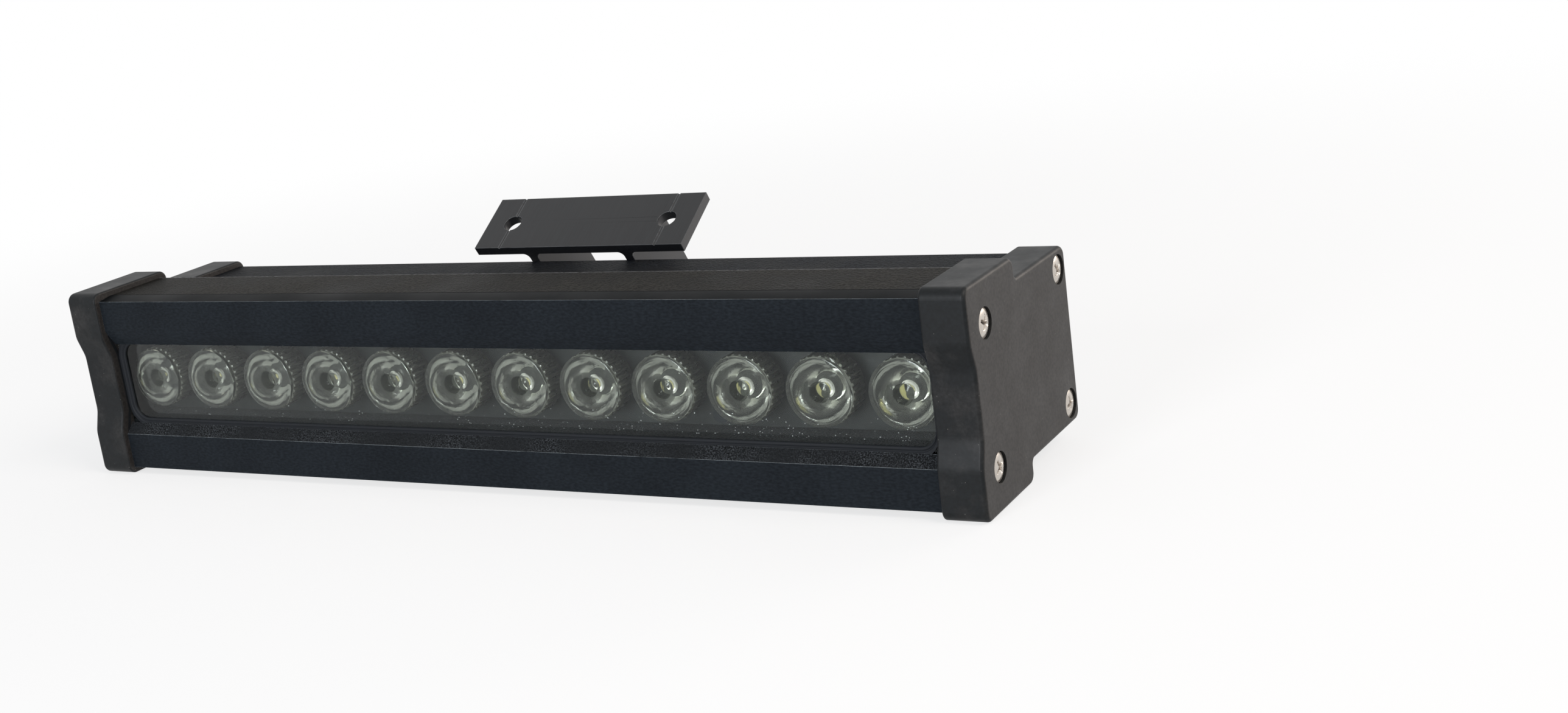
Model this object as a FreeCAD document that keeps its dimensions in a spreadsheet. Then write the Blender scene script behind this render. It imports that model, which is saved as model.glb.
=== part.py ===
"""Outdoor wall washer light: a long black housing with twelve lenses behind glass, on a tilting bracket.

The origin is the centre of the bracket's mounting face. X runs along the light, Z is up and the light
shines towards -Y. Lengths are in millimetres and angles in degrees.
"""

import FreeCAD, Part
import os
import re

import Sketcher

SIZES = [
    # End caps: the outline seen from the end, with depth from the front and height from the bottom.
    ("cap_height", 63.3, "height of an end cap"),
    ("cap_depth", 72.0, "depth of an end cap from front to back"),
    ("cap_thickness", 13.0, "thickness of an end cap along the light"),
    ("front_block_depth", 34.2, "depth of the tall front part of the cap"),
    ("block_step", 6.1, "drop from the front block to the back block, top and bottom"),
    ("bezel_height", 15.2, "flat front of the cap above and below the window"),
    ("slant_rise", 6.9, "height of the slant between bezel and recess"),
    ("window_recess", 2.2, "depth of the recess in the cap's front"),
    ("cap_corner_radius", 3.0, "outer corners of the cap's outline"),
    ("cap_notch_radius", 1.5, "inner corners of the cap's steps"),
    ("cap_blend_radius", 8.0, "soft turns at the slants"),
    ("cap_edge_radius", 1.2, "edge round the cap's outer face"),
    ("cap_rim_radius", 0.7, "edge round the cap's inner face"),
    ("cap_cavity_depth", 8.0, "hollow in the cap's inner side"),
    ("cap_cavity_front", 18.0, "front of that hollow"),
    ("cap_cavity_inset", 12.0, "back of that hollow from the cap's back"),
    ("cap_cavity_margin", 4.6, "that hollow to the height of the cap screws"),
    # Cap gaskets, let into a groove of the cap.
    ("gasket_inset", 0.6, "gasket's outer line inside the housing's outline"),
    ("gasket_width", 1.2, "width of the gasket's band"),
    ("gasket_thickness", 0.8, "thickness of the gasket"),
    # Cap screws.
    ("screw_front", 11.5, "front screws from the cap's front"),
    ("screw_back_inset", 6.0, "back screws from the cap's back"),
    ("screw_edge", 5.95, "screws from the top and bottom of the back block"),
    ("screw_radius", 2.0, "cap screw shank"),
    ("screw_length", 22.0, "cap screw under its head"),
    ("screw_head_radius", 4.0, "cap screw head"),
    ("screw_head_height", 2.4, "cap screw head"),
    ("screw_head_round", 0.9, "rounding of the head"),
    ("screw_sink", 0.8, "head below the cap's outer face"),
    ("screw_clearance", 0.3, "room round head and shank in the cap"),
    ("thread_clearance", 0.05, "room round a shank in its tapped hole"),
    ("recess_arm", 2.2, "half length of the cross recess"),
    ("recess_width", 0.9, "width of an arm of the cross recess"),
    ("recess_depth", 1.4, "depth of the cross recess"),
    # Housing extrusion.
    ("housing_length", 298.4, "extrusion between the caps"),
    ("housing_inset", 2.1, "extrusion's outline inside the cap's"),
    ("block_inset", 3.2, "back of the extrusion's front block inside the cap's"),
    ("housing_wall", 2.4, "wall of the extrusion"),
    ("bevel_depth", 5.1, "shallow bevel along the top front edge, in depth"),
    ("bevel_drop", 0.8, "the same bevel, in height"),
    ("lip_depth", 3.2, "depth of the sloping lips above and below the glass"),
    ("window_offset", 0.25, "lens row over the cap's mid height"),
    ("chamber_margin", 5.1, "lens chamber to the height of the cap screws"),
    ("upper_lip_front", 3.6, "front edge of the upper lip beyond the lens chamber"),
    ("upper_lip_back", 1.6, "back edge of the upper lip inside the lens chamber"),
    ("lower_lip_front", 3.4, "front edge of the lower lip beyond the lens chamber"),
    ("lower_lip_back", 0.2, "back edge of the lower lip beyond the lens chamber"),
    ("web_thickness", 3.2, "wall that carries the circuit board"),
    ("web_margin", 2.5, "thin part of that wall inside the lens chamber's height"),
    ("ledge_depth", 31.2, "ledges that carry the driver, from the cap's front"),
    ("boss_half_width", 4.2, "solid corner round a screw port"),
    ("pad_thickness", 5.5, "thick back wall under the hinge foot"),
    ("pad_margin", 1.0, "that thick wall to the corners of the screw ports"),
    # Glass and its seals.
    ("glass_bearing", 1.5, "front glass beyond the lens chamber, above and below"),
    ("glass_thickness", 4.0, "front glass"),
    ("glass_clearance", 0.3, "room round the edges of the glass"),
    ("seal_thickness", 0.7, "black seal in front of the glass"),
    ("seal_cover", 1.5, "that seal inside the lens chamber, above and below"),
    ("seal_border", 3.2, "width of that seal at each end"),
    ("seal_corner_radius", 5.0, "corners of the opening in that seal"),
    ("bed_thickness", 0.5, "gasket behind the glass"),
    # Lenses, holders, chips and board.
    ("lens_count", 12, "lenses in the row"),
    ("lens_end_gap", 11.7, "last lens to the end of the extrusion"),
    ("lens_gap", 0.9, "glass to the lens rim"),
    ("lens_radius", 10.0, "lens rim"),
    ("lens_length", 11.0, "rim to the back of the lens"),
    ("lens_rim_thickness", 1.2, "thickness of the rim"),
    ("lens_shoulder_radius", 9.2, "lens body right behind the rim"),
    ("lens_waist_radius", 7.4, "lens body half way back"),
    ("lens_waist_depth", 6.6, "depth of that waist behind the rim"),
    ("lens_back_radius", 4.2, "back of the lens"),
    ("lens_ring_radius", 8.6, "step in the lens face"),
    ("lens_ring_depth", 0.4, "depth of that step"),
    ("lens_well_radius", 3.3, "well in the middle of the face"),
    ("lens_well_depth", 4.6, "depth of that well"),
    ("lens_well_crown", 1.0, "rise of the dome in the well"),
    ("lens_cavity_radius", 3.0, "hollow over the chip"),
    ("lens_cavity_depth", 4.2, "depth of that hollow"),
    ("lens_cavity_crown", 0.8, "rise of the dome in that hollow"),
    ("holder_clearance", 0.25, "room between lens and holder"),
    ("holder_wall", 0.9, "wall of the lens holder"),
    ("holder_rib_count", 16, "ribs round a holder"),
    ("holder_rib_width", 0.7, "width of a rib"),
    ("holder_rib_rise", 0.5, "a rib stands out this much at the top"),
    ("holder_foot_radius", 8.6, "foot ring of the holder on the board"),
    ("holder_foot_height", 1.4, "height of that ring"),
    ("lens_stand", 0.5, "back of the lens over the board"),
    ("chip_width", 3.4, "width of an LED chip's base"),
    ("chip_base_height", 0.6, "height of that base"),
    ("chip_dome_radius", 1.4, "dome on the chip"),
    ("chip_dome_height", 0.7, "height of that dome"),
    ("board_end_gap", 1.2, "circuit board to the end of the extrusion"),
    ("board_gap", 0.5, "circuit board to the top and bottom of the chamber"),
    ("board_thickness", 1.6, "circuit board"),
    ("board_screw_steps", 3, "board's screws from the middle, counted in lenses"),
    ("board_screw_edge", 3.9, "board's screws to the top and bottom of the chamber"),
    ("small_screw_radius", 1.5, "shank of the board's and driver's screws"),
    ("small_head_radius", 2.5, "head of those screws"),
    ("small_head_height", 1.8, "head of those screws"),
    ("board_screw_length", 4.4, "board screw under its head"),
    # Driver module on the ledges.
    ("driver_length", 150.0, "potted case of the driver"),
    ("driver_side_gap", 4.05, "room above and below the driver"),
    ("driver_back_gap", 6.2, "room behind the driver"),
    ("driver_round", 2.0, "upright edges of the case"),
    ("driver_ear_length", 12.0, "mounting ear at each end"),
    ("driver_ear_thickness", 3.0, "thickness of an ear"),
    ("driver_screw_margin", 2.0, "driver's screws beyond the thin part of the board's wall"),
    ("driver_screw_length", 7.0, "driver screw under its head"),
    # Cable gland on the left cap.
    ("gland_setback", 24.0, "gland's axis from the cap's back"),
    ("gland_thread_radius", 6.0, "thread through the cap"),
    ("gland_thread_length", 8.0, "thread through the cap, from its outer face"),
    ("gland_hex", 15.0, "across the flats of the gland's body"),
    ("gland_hex_height", 4.5, "the gland's hexagon"),
    ("gland_collar_radius", 5.6, "collar under the dome nut"),
    ("gland_collar_length", 5.0, "collar under the dome nut"),
    ("gland_bore_radius", 4.6, "bore through the gland's body"),
    ("gland_dome_radius", 7.5, "dome nut"),
    ("gland_dome_length", 10.5, "dome nut"),
    ("gland_dome_round", 3.0, "rounded end of the dome nut"),
    ("gland_mouth_radius", 3.8, "opening of the dome nut"),
    ("gland_seal_hole_radius", 3.3, "hole for the cable in the rubber seal"),
    ("gland_fit", 0.1, "room between seal, collar and dome nut"),
    # Bracket: a flat plate with two legs, one cut of a profile.
    ("bracket_tilt", 31.5, "tilt of the mounting face from level, front edge down"),
    ("plate_length", 80.0, "bracket plate along the light"),
    ("plate_depth", 23.1, "length of the cut profile, across the plate"),
    ("plate_thickness", 3.2, "bracket plate"),
    ("leg_spacing", 40.0, "over the outer faces of the legs"),
    ("leg_thickness", 3.2, "bracket leg"),
    ("leg_reach", 41.0, "mounting face to the hinge"),
    ("leg_fillet", 2.0, "fillets between plate and legs"),
    ("mount_spacing", 60.0, "between the mounting holes"),
    ("mount_hole_radius", 3.25, "mounting hole for M6"),
    ("groove_width", 0.9, "V groove through each mounting hole"),
    ("groove_depth", 0.45, "V groove through each mounting hole"),
    # Hinge.
    ("hinge_setback", 26.5, "hinge behind the caps' backs"),
    ("hinge_bolt_radius", 3.0, "M6 hinge bolt"),
    ("hinge_bolt_end", 0.2, "end of the hinge bolt past its nut"),
    ("hinge_bore_clearance", 0.05, "bolt in the foot's bore"),
    ("leg_hole_clearance", 0.2, "bolt in the legs' holes"),
    ("bolt_head_radius", 5.25, "button head of the hinge bolt"),
    ("bolt_head_height", 3.3, "button head of the hinge bolt"),
    ("bolt_head_round", 1.8, "rounding of that head"),
    ("bolt_socket", 4.0, "across the flats of that head's socket"),
    ("bolt_socket_depth", 2.0, "socket of that head"),
    ("nut_flats", 10.0, "across the flats of the lock nut"),
    ("nut_height", 5.0, "lock nut"),
    ("washer_radius", 6.0, "plain washer"),
    ("washer_thickness", 1.6, "plain washer"),
    ("spring_washer_radius", 5.9, "spring washer"),
    ("spring_washer_thickness", 1.6, "spring washer"),
    ("spring_washer_slot", 1.0, "slit of the spring washer"),
    ("friction_washer_radius", 8.6, "friction washer between leg and foot"),
    ("friction_washer_thickness", 0.8, "friction washer between leg and foot"),
    ("friction_washer_gap", 0.1, "friction washer to the foot's barrel"),
    # Hinge foot screwed to the housing's back.
    ("foot_length", 60.0, "foot's flange along the light"),
    ("foot_height", 28.0, "foot's flange"),
    ("foot_thickness", 4.0, "foot's flange"),
    ("foot_corner_radius", 4.0, "corners of the flange"),
    ("foot_web_thickness", 12.0, "web between flange and barrel"),
    ("foot_barrel_radius", 9.0, "barrel round the hinge bolt"),
    ("foot_screw_spacing", 48.0, "foot's screws along the light"),
    ("foot_screw_rise", 8.5, "foot's screws above and below mid height"),
    ("foot_screw_radius", 2.0, "M4 foot screw"),
    ("foot_screw_length", 8.0, "foot screw under its head"),
    ("foot_head_radius", 3.5, "head of the foot screw"),
    ("foot_head_height", 4.0, "head of the foot screw"),
    ("foot_socket_radius", 1.7, "hexagon socket of the foot screw, over its corners"),
    ("foot_socket_depth", 2.0, "hexagon socket of the foot screw"),
]

SIDES = {"left": -1, "right": 1}
MATCH = 0.01  # two places nearer than this are the same corner

# Places worked out from the sizes. The bracket's legs lead from the origin to the hinge, and the
# housing hangs in front of the hinge, level with it.
HINGE_Y = "(leg_reach * sin(bracket_tilt))"
HINGE_Z = "(-leg_reach * cos(bracket_tilt))"
HOUSING_Y = f"({HINGE_Y} - hinge_setback - cap_depth)"
HOUSING_Z = f"({HINGE_Z} - cap_height / 2)"

MIDDLE = "(cap_height / 2)"
HALF_HOUSING = "(housing_length / 2)"
WINDOW = f"({MIDDLE} + window_offset)"
SCREW_BACK = "(cap_depth - screw_back_inset)"
SCREW_RISE = f"({MIDDLE} - block_step - screw_edge)"
CHAMBER_HALF = f"({SCREW_RISE} - chamber_margin)"
GLASS_HALF = f"({CHAMBER_HALF} + glass_bearing)"
WEB_HALF = f"({CHAMBER_HALF} - web_margin)"
LENS_PITCH = "((housing_length - lens_end_gap * 2) / (lens_count - 1))"
LIP_BACK = "(housing_inset + lip_depth)"
GLASS_FRONT = f"({LIP_BACK} + seal_thickness)"
GLASS_BACK = f"({GLASS_FRONT} + glass_thickness)"
BED_BACK = f"({GLASS_BACK} + bed_thickness)"
RIM_FRONT = f"({GLASS_BACK} + lens_gap)"
BOARD_FRONT = f"({RIM_FRONT} + lens_length + lens_stand)"
WEB_FRONT = f"({BOARD_FRONT} + board_thickness)"
WEB_BACK = f"({WEB_FRONT} + web_thickness)"
HOUSING_TOP = "(cap_height - housing_inset)"
HOUSING_BACK = "(cap_depth - housing_inset)"
BACK_BLOCK_TOP = "(cap_height - block_step - housing_inset)"
BACK_BLOCK_BOTTOM = "(block_step + housing_inset)"
BLOCK_BACK = "(front_block_depth - block_inset)"
FOOT_FRONT = f"({HOUSING_BACK} + foot_thickness)"
HINGE_DEPTH = "(cap_depth + hinge_setback)"
GLAND_DEPTH = "(cap_depth - gland_setback)"
DRIVER_DEPTH = f"({HOUSING_BACK} - pad_thickness - driver_back_gap - ledge_depth)"
DRIVER_HALF = f"({MIDDLE} - {BACK_BLOCK_BOTTOM} - housing_wall - driver_side_gap)"
BOLT_HEAD_SEAT = "(leg_spacing / 2 + washer_thickness + spring_washer_thickness)"
NUT_SEAT = "(leg_spacing / 2 + washer_thickness)"
GAP_HALF = "(leg_spacing / 2 - leg_thickness)"

doc = FreeCAD.newDocument("wall_washer_light")
sheet = doc.addObject("Spreadsheet::Sheet", "Sizes")
for row, (alias, value, note) in enumerate(SIZES, start=1):
    sheet.set(f"A{row}", str(value))
    sheet.setAlias(f"A{row}", alias)
    sheet.set(f"B{row}", note)
doc.recompute()
ALIASES = {alias for alias, _, _ in SIZES}
nodes = []


def tied(expression):
    """Return the expression with each size's name pointing at the sheet."""
    return re.sub(r"[a-z_]+", lambda word: f"Sizes.{word[0]}" if word[0] in ALIASES else word[0], expression)


def number(expression):
    """Return the value of an expression in the sheet's sizes."""
    return float(sheet.evalExpression(expression))


def place(thing, x="0", y="0", z="0"):
    """Tie the position of an object to the sheet."""
    for axis, expression in zip("xyz", (x, y, z)):
        thing.setExpression(f"Placement.Base.{axis}", tied(expression))


def new_body(label, x="0", y=HOUSING_Y, z=HOUSING_Z, pieces=1):
    """Start a sub-part, by default in the housing's own frame: front, bottom and middle are zero."""
    body = doc.addObject("PartDesign::Body", label)
    body.Label = label
    body.AllowCompound = pieces > 1
    place(body, x, y, z)
    nodes.append((body, pieces))
    return body


def new_sketch(body, plane, offset="0"):
    """Attach a sketch to one of the body's planes: XY, XZ or YZ, moved along the plane's normal."""
    sketch = body.newObject("Sketcher::SketchObject", f"{body.Label}_sketch")
    support = next(item for item in body.Origin.OriginFeatures if item.Role == f"{plane}_Plane")
    sketch.AttachmentSupport = [(support, "")]
    sketch.MapMode = "FlatFace"
    sketch.setExpression("AttachmentOffset.Base.z", tied(offset))
    return sketch


def pin_point(sketch, geometry, position, point):
    """Tie a point of a sketch's geometry to its two coordinates."""
    for kind, expression in zip(("DistanceX", "DistanceY"), point):
        rule = Sketcher.Constraint(kind, -1, 1, geometry, position, number(expression))
        index = sketch.addConstraint(rule)
        sketch.setExpression(f"Constraints[{index}]", tied(expression))


def outline(sketch, points):
    """Draw a closed outline through points, each a pair of expressions."""
    places = [FreeCAD.Vector(number(across), number(up), 0) for across, up in points]
    first = sketch.GeometryCount
    count = len(points)
    for index in range(count):
        sketch.addGeometry(Part.LineSegment(places[index], places[(index + 1) % count]))
    for index in range(count):
        following = first + (index + 1) % count
        sketch.addConstraint(Sketcher.Constraint("Coincident", first + index, 2, following, 1))
    for index, point in enumerate(points):
        pin_point(sketch, first + index, 1, point)


def box(sketch, left, right, bottom, top):
    """Draw a rectangle between four expressions."""
    outline(sketch, [(left, bottom), (right, bottom), (right, top), (left, top)])


def circle(sketch, across, up, radius):
    """Draw a circle tied to its centre and radius."""
    centre = FreeCAD.Vector(number(across), number(up), 0)
    index = sketch.addGeometry(Part.Circle(centre, FreeCAD.Vector(0, 0, 1), number(radius)))
    pin_point(sketch, index, 3, (across, up))
    rule = sketch.addConstraint(Sketcher.Constraint("Radius", index, number(radius)))
    sketch.setExpression(f"Constraints[{rule}]", tied(radius))


def polygon(sketch, across, up, flats, sides=6):
    """Draw a regular polygon of a given width across its flats."""
    step = 360 / sides
    reach = f"({flats} / 2 / cos({step / 2}))"
    outline(sketch, [
        (f"{across} + {reach} * cos({step * corner})", f"{up} + {reach} * sin({step * corner})")
        for corner in range(sides)
    ])


def sweep(body, kind, sketch, length, midplane=False, reverse=False):
    """Make a Pad or Pocket of a sketch."""
    feature = body.newObject(f"PartDesign::{kind}", f"{body.Label}_{kind.lower()}")
    feature.Profile = sketch
    feature.setExpression("Length", tied(length))
    feature.Midplane = midplane
    feature.Reversed = reverse
    doc.recompute()
    return feature


def pad(body, sketch, length, **way):
    """Add material along the sketch's normal."""
    return sweep(body, "Pad", sketch, length, **way)


def pocket(body, sketch, length, **way):
    """Cut material against the sketch's normal and check that some was cut."""
    before = body.Shape.Volume
    feature = sweep(body, "Pocket", sketch, length, **way)
    if body.Shape.Volume >= before:
        raise ValueError(f"a pocket of {body.Label} cuts nothing")
    return feature


def turn(body, sketch):
    """Revolve a sketch about its own vertical axis."""
    feature = body.newObject("PartDesign::Revolution", f"{body.Label}_revolution")
    feature.Profile = sketch
    feature.ReferenceAxis = (sketch, ["V_Axis"])
    doc.recompute()
    return feature


def soften(body, radius, wanted):
    """Fillet the body's edges that answer to wanted(edge)."""
    base = body.Tip
    names = [f"Edge{index}" for index, edge in enumerate(base.Shape.Edges, start=1) if wanted(edge)]
    feature = body.newObject("PartDesign::Fillet", f"{body.Label}_fillet")
    feature.Base = (base, names)
    feature.setExpression("Radius", tied(radius))
    doc.recompute()
    return feature


def direction(edge):
    """Return the letter of the axis that a straight edge follows, or nothing."""
    if edge.Curve.TypeId != "Part::GeomLine":
        return ""
    span = edge.BoundBox
    lengths = {"X": span.XLength, "Y": span.YLength, "Z": span.ZLength}
    long = [axis for axis, length in lengths.items() if length > MATCH]
    return long[0] if len(long) == 1 else ""


def edges_along_x(points):
    """Return a test for edges along X that pass through one of the (y, z) points."""
    places = [(number(y), number(z)) for y, z in points]

    def wanted(edge):
        spot = edge.Vertexes[0].Point
        near = any(abs(spot.y - y) < MATCH and abs(spot.z - z) < MATCH for y, z in places)
        return near and direction(edge) == "X"

    return wanted


def edges_at_x(x):
    """Return a test for edges that lie wholly in the plane across the light at x."""
    level = number(x)

    def wanted(edge):
        span = edge.BoundBox
        return abs(span.XMin - level) < MATCH and abs(span.XMax - level) < MATCH

    return wanted


def cap_outline(inset="0"):
    """Return the end cap's outline, drawn in by an inset, as (depth, height) points."""
    top = f"cap_height - {inset}"
    high_step = f"cap_height - block_step - {inset}"
    low_step = f"block_step + {inset}"
    step_depth = f"front_block_depth - {inset}"
    back = f"cap_depth - {inset}"
    recess = f"window_recess + {inset}"
    return [
        (inset, top),
        (step_depth, top),
        (step_depth, high_step),
        (back, high_step),
        (back, low_step),
        (step_depth, low_step),
        (step_depth, inset),
        (inset, inset),
        (inset, "bezel_height"),
        (recess, "bezel_height + slant_rise"),
        (recess, "cap_height - bezel_height - slant_rise"),
        (inset, "cap_height - bezel_height"),
    ]


def screw_places():
    """Return the (depth, height) of the four cap screws."""
    return [
        (depth, f"{MIDDLE} {sign} {SCREW_RISE}")
        for depth in ("screw_front", SCREW_BACK)
        for sign in "+-"
    ]


def build_end_cap(side, sign):
    """Build an end cap with its soft edges, screw holes, gasket groove and inner hollow."""
    body = new_body(f"end_cap_{side}")
    inner = f"{sign} * {HALF_HOUSING}"
    outer = f"{sign} * ({HALF_HOUSING} + cap_thickness)"
    shape = new_sketch(body, "YZ", inner)
    outline(shape, cap_outline())
    pad(body, shape, "cap_thickness", reverse=sign < 0)
    points = cap_outline()
    soften(body, "cap_corner_radius", edges_along_x([points[index] for index in (0, 1, 3, 4, 6, 7)]))
    soften(body, "cap_notch_radius", edges_along_x([points[index] for index in (2, 5)]))
    soften(body, "cap_blend_radius", edges_along_x(points[8:]))
    soften(body, "cap_edge_radius", edges_at_x(outer))
    soften(body, "cap_rim_radius", edges_at_x(inner))
    groove = new_sketch(body, "YZ", inner)
    outline(groove, cap_outline("(housing_inset + gasket_inset)"))
    outline(groove, cap_outline("(housing_inset + gasket_inset + gasket_width)"))
    pocket(body, groove, "gasket_thickness", reverse=sign > 0)
    hollow = new_sketch(body, "YZ", inner)
    half = f"({SCREW_RISE} - cap_cavity_margin)"
    back = "cap_depth - cap_cavity_inset"
    box(hollow, "cap_cavity_front", back, f"{MIDDLE} - {half}", f"{MIDDLE} + {half}")
    pocket(body, hollow, "cap_cavity_depth", reverse=sign > 0)
    holes = new_sketch(body, "YZ", outer)
    heads = new_sketch(body, "YZ", outer)
    for depth, height in screw_places():
        circle(holes, depth, height, "screw_radius + screw_clearance")
        circle(heads, depth, height, "screw_head_radius + screw_clearance")
    pocket(body, holes, "cap_thickness", reverse=sign < 0)
    pocket(body, heads, "screw_sink + screw_head_height", reverse=sign < 0)
    if side == "left":
        passage = new_sketch(body, "YZ", outer)
        circle(passage, GLAND_DEPTH, MIDDLE, "gland_thread_radius + thread_clearance")
        pocket(body, passage, "cap_thickness", reverse=sign < 0)


def build_end_gasket(side, sign):
    """Build the band that seals a cap to the housing's end."""
    body = new_body(f"end_gasket_{side}")
    ring = new_sketch(body, "YZ", f"{sign} * {HALF_HOUSING}")
    outline(ring, cap_outline("(housing_inset + gasket_inset)"))
    outline(ring, cap_outline("(housing_inset + gasket_inset + gasket_width)"))
    pad(body, ring, "gasket_thickness", reverse=sign < 0)


def cross(sketch, across, up):
    """Draw a cross recess."""
    arm = "recess_arm"
    half = "recess_width / 2"
    corners = [
        ("-", half, "-", arm), ("+", half, "-", arm), ("+", half, "-", half), ("+", arm, "-", half),
        ("+", arm, "+", half), ("+", half, "+", half), ("+", half, "+", arm), ("-", half, "+", arm),
        ("-", half, "+", half), ("-", arm, "+", half), ("-", arm, "-", half), ("-", half, "-", half),
    ]
    outline(sketch, [(f"{across} {a} {b}", f"{up} {c} {d}") for a, b, c, d in corners])


def build_cap_screws(side, sign):
    """Build the four recessed pan head screws of a cap."""
    body = new_body(f"cap_screws_{side}", pieces=4)
    face = f"{sign} * ({HALF_HOUSING} + cap_thickness - screw_sink)"
    heads = new_sketch(body, "YZ", face)
    shanks = new_sketch(body, "YZ", face)
    crosses = new_sketch(body, "YZ", face)
    for depth, height in screw_places():
        circle(heads, depth, height, "screw_head_radius")
        circle(shanks, depth, height, "screw_radius")
        cross(crosses, depth, height)
    pad(body, heads, "screw_head_height", reverse=sign > 0)
    soften(body, "screw_head_round", edges_at_x(face))
    pad(body, shanks, "screw_head_height + screw_length", reverse=sign > 0)
    pocket(body, crosses, "recess_depth", reverse=sign < 0)


def housing_outline():
    """Return the extrusion's outer line, which runs into the lens chamber through the window."""
    over = f"{WINDOW} +"
    under = f"{WINDOW} -"
    rebate = f"({GLASS_HALF} + glass_clearance)"
    return [
        ("housing_inset", f"{HOUSING_TOP} - bevel_drop"),
        ("housing_inset + bevel_depth", HOUSING_TOP),
        (BLOCK_BACK, HOUSING_TOP),
        (BLOCK_BACK, BACK_BLOCK_TOP),
        (HOUSING_BACK, BACK_BLOCK_TOP),
        (HOUSING_BACK, BACK_BLOCK_BOTTOM),
        (BLOCK_BACK, BACK_BLOCK_BOTTOM),
        (BLOCK_BACK, "housing_inset"),
        ("housing_inset", "housing_inset"),
        ("housing_inset", f"{under} ({CHAMBER_HALF} + lower_lip_front)"),
        (LIP_BACK, f"{under} ({CHAMBER_HALF} + lower_lip_back)"),
        (LIP_BACK, f"{under} {rebate}"),
        (BED_BACK, f"{under} {rebate}"),
        (BED_BACK, f"{under} {CHAMBER_HALF}"),
        (WEB_FRONT, f"{under} {CHAMBER_HALF}"),
        (WEB_FRONT, f"{over} {CHAMBER_HALF}"),
        (BED_BACK, f"{over} {CHAMBER_HALF}"),
        (BED_BACK, f"{over} {rebate}"),
        (LIP_BACK, f"{over} {rebate}"),
        (LIP_BACK, f"{over} ({CHAMBER_HALF} - upper_lip_back)"),
        ("housing_inset", f"{over} ({CHAMBER_HALF} + upper_lip_front)"),
    ]


def driver_chamber():
    """Return the outline of the hollow behind the web, with solid corners at the screw ports."""
    low = f"({BACK_BLOCK_BOTTOM} + housing_wall)"
    high = f"({BACK_BLOCK_TOP} - housing_wall)"
    back = f"({HOUSING_BACK} - housing_wall)"
    pad_face = f"({HOUSING_BACK} - pad_thickness)"
    boss = f"({SCREW_BACK} - boss_half_width)"
    boss_low = f"({MIDDLE} - {SCREW_RISE} + boss_half_width)"
    boss_high = f"({MIDDLE} + {SCREW_RISE} - boss_half_width)"
    pad_low = f"({boss_low} + pad_margin)"
    pad_high = f"({boss_high} - pad_margin)"
    return [
        (WEB_BACK, f"{MIDDLE} - {WEB_HALF}"),
        ("ledge_depth", f"{MIDDLE} - {WEB_HALF}"),
        ("ledge_depth", low),
        (boss, low),
        (boss, boss_low),
        (back, boss_low),
        (back, pad_low),
        (pad_face, pad_low),
        (pad_face, pad_high),
        (back, pad_high),
        (back, boss_high),
        (boss, boss_high),
        (boss, high),
        ("ledge_depth", high),
        ("ledge_depth", f"{MIDDLE} + {WEB_HALF}"),
        (WEB_BACK, f"{MIDDLE} + {WEB_HALF}"),
    ]


def foot_screw_places():
    """Return the (x, height) of the hinge foot's four screws."""
    return [(f"{a} foot_screw_spacing / 2", f"{MIDDLE} {b} foot_screw_rise") for a in "+-" for b in "+-"]


def board_screw_places():
    """Return the (x, height) of the circuit board's four screws."""
    across = f"board_screw_steps * {LENS_PITCH}"
    rise = f"({CHAMBER_HALF} - board_screw_edge)"
    return [(f"{a} {across}", f"{WINDOW} {b} {rise}") for a in "+-" for b in "+-"]


def driver_screw_places():
    """Return the (x, height) of the driver's four screws."""
    reach = "(driver_length / 2 + driver_ear_length / 2)"
    rise = f"({WEB_HALF} + driver_screw_margin)"
    return [(f"{a} {reach}", f"{MIDDLE} {b} {rise}") for a in "+-" for b in "+-"]


def build_housing():
    """Build the extrusion: the profile with its hollows and screw ports, then the tapped holes."""
    body = new_body("housing_extrusion")
    profile = new_sketch(body, "YZ")
    outline(profile, housing_outline())
    outline(profile, driver_chamber())
    front = "(screw_front + boss_half_width)"
    back = f"({BLOCK_BACK} - housing_wall)"
    chamber_wall = f"({CHAMBER_HALF} + housing_wall)"
    box(profile, front, back, f"{WINDOW} + {chamber_wall}", f"{HOUSING_TOP} - housing_wall")
    box(profile, front, back, "housing_inset + housing_wall", f"{WINDOW} - {chamber_wall}")
    for depth, height in screw_places():
        circle(profile, depth, height, "screw_radius + thread_clearance")
    pad(body, profile, "housing_length", midplane=True)
    tapped = "small_screw_radius + thread_clearance"
    foot_holes = new_sketch(body, "XZ", f"-{HOUSING_BACK}")
    for across, up in foot_screw_places():
        circle(foot_holes, across, up, "foot_screw_radius + thread_clearance")
    pocket(body, foot_holes, "pad_thickness", reverse=True)
    board_holes = new_sketch(body, "XZ", f"-{WEB_FRONT}")
    for across, up in board_screw_places():
        circle(board_holes, across, up, tapped)
    pocket(body, board_holes, "web_thickness")
    driver_holes = new_sketch(body, "XZ", "-ledge_depth")
    for across, up in driver_screw_places():
        circle(driver_holes, across, up, tapped)
    pocket(body, driver_holes, "driver_screw_length - driver_ear_thickness", reverse=True)


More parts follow.
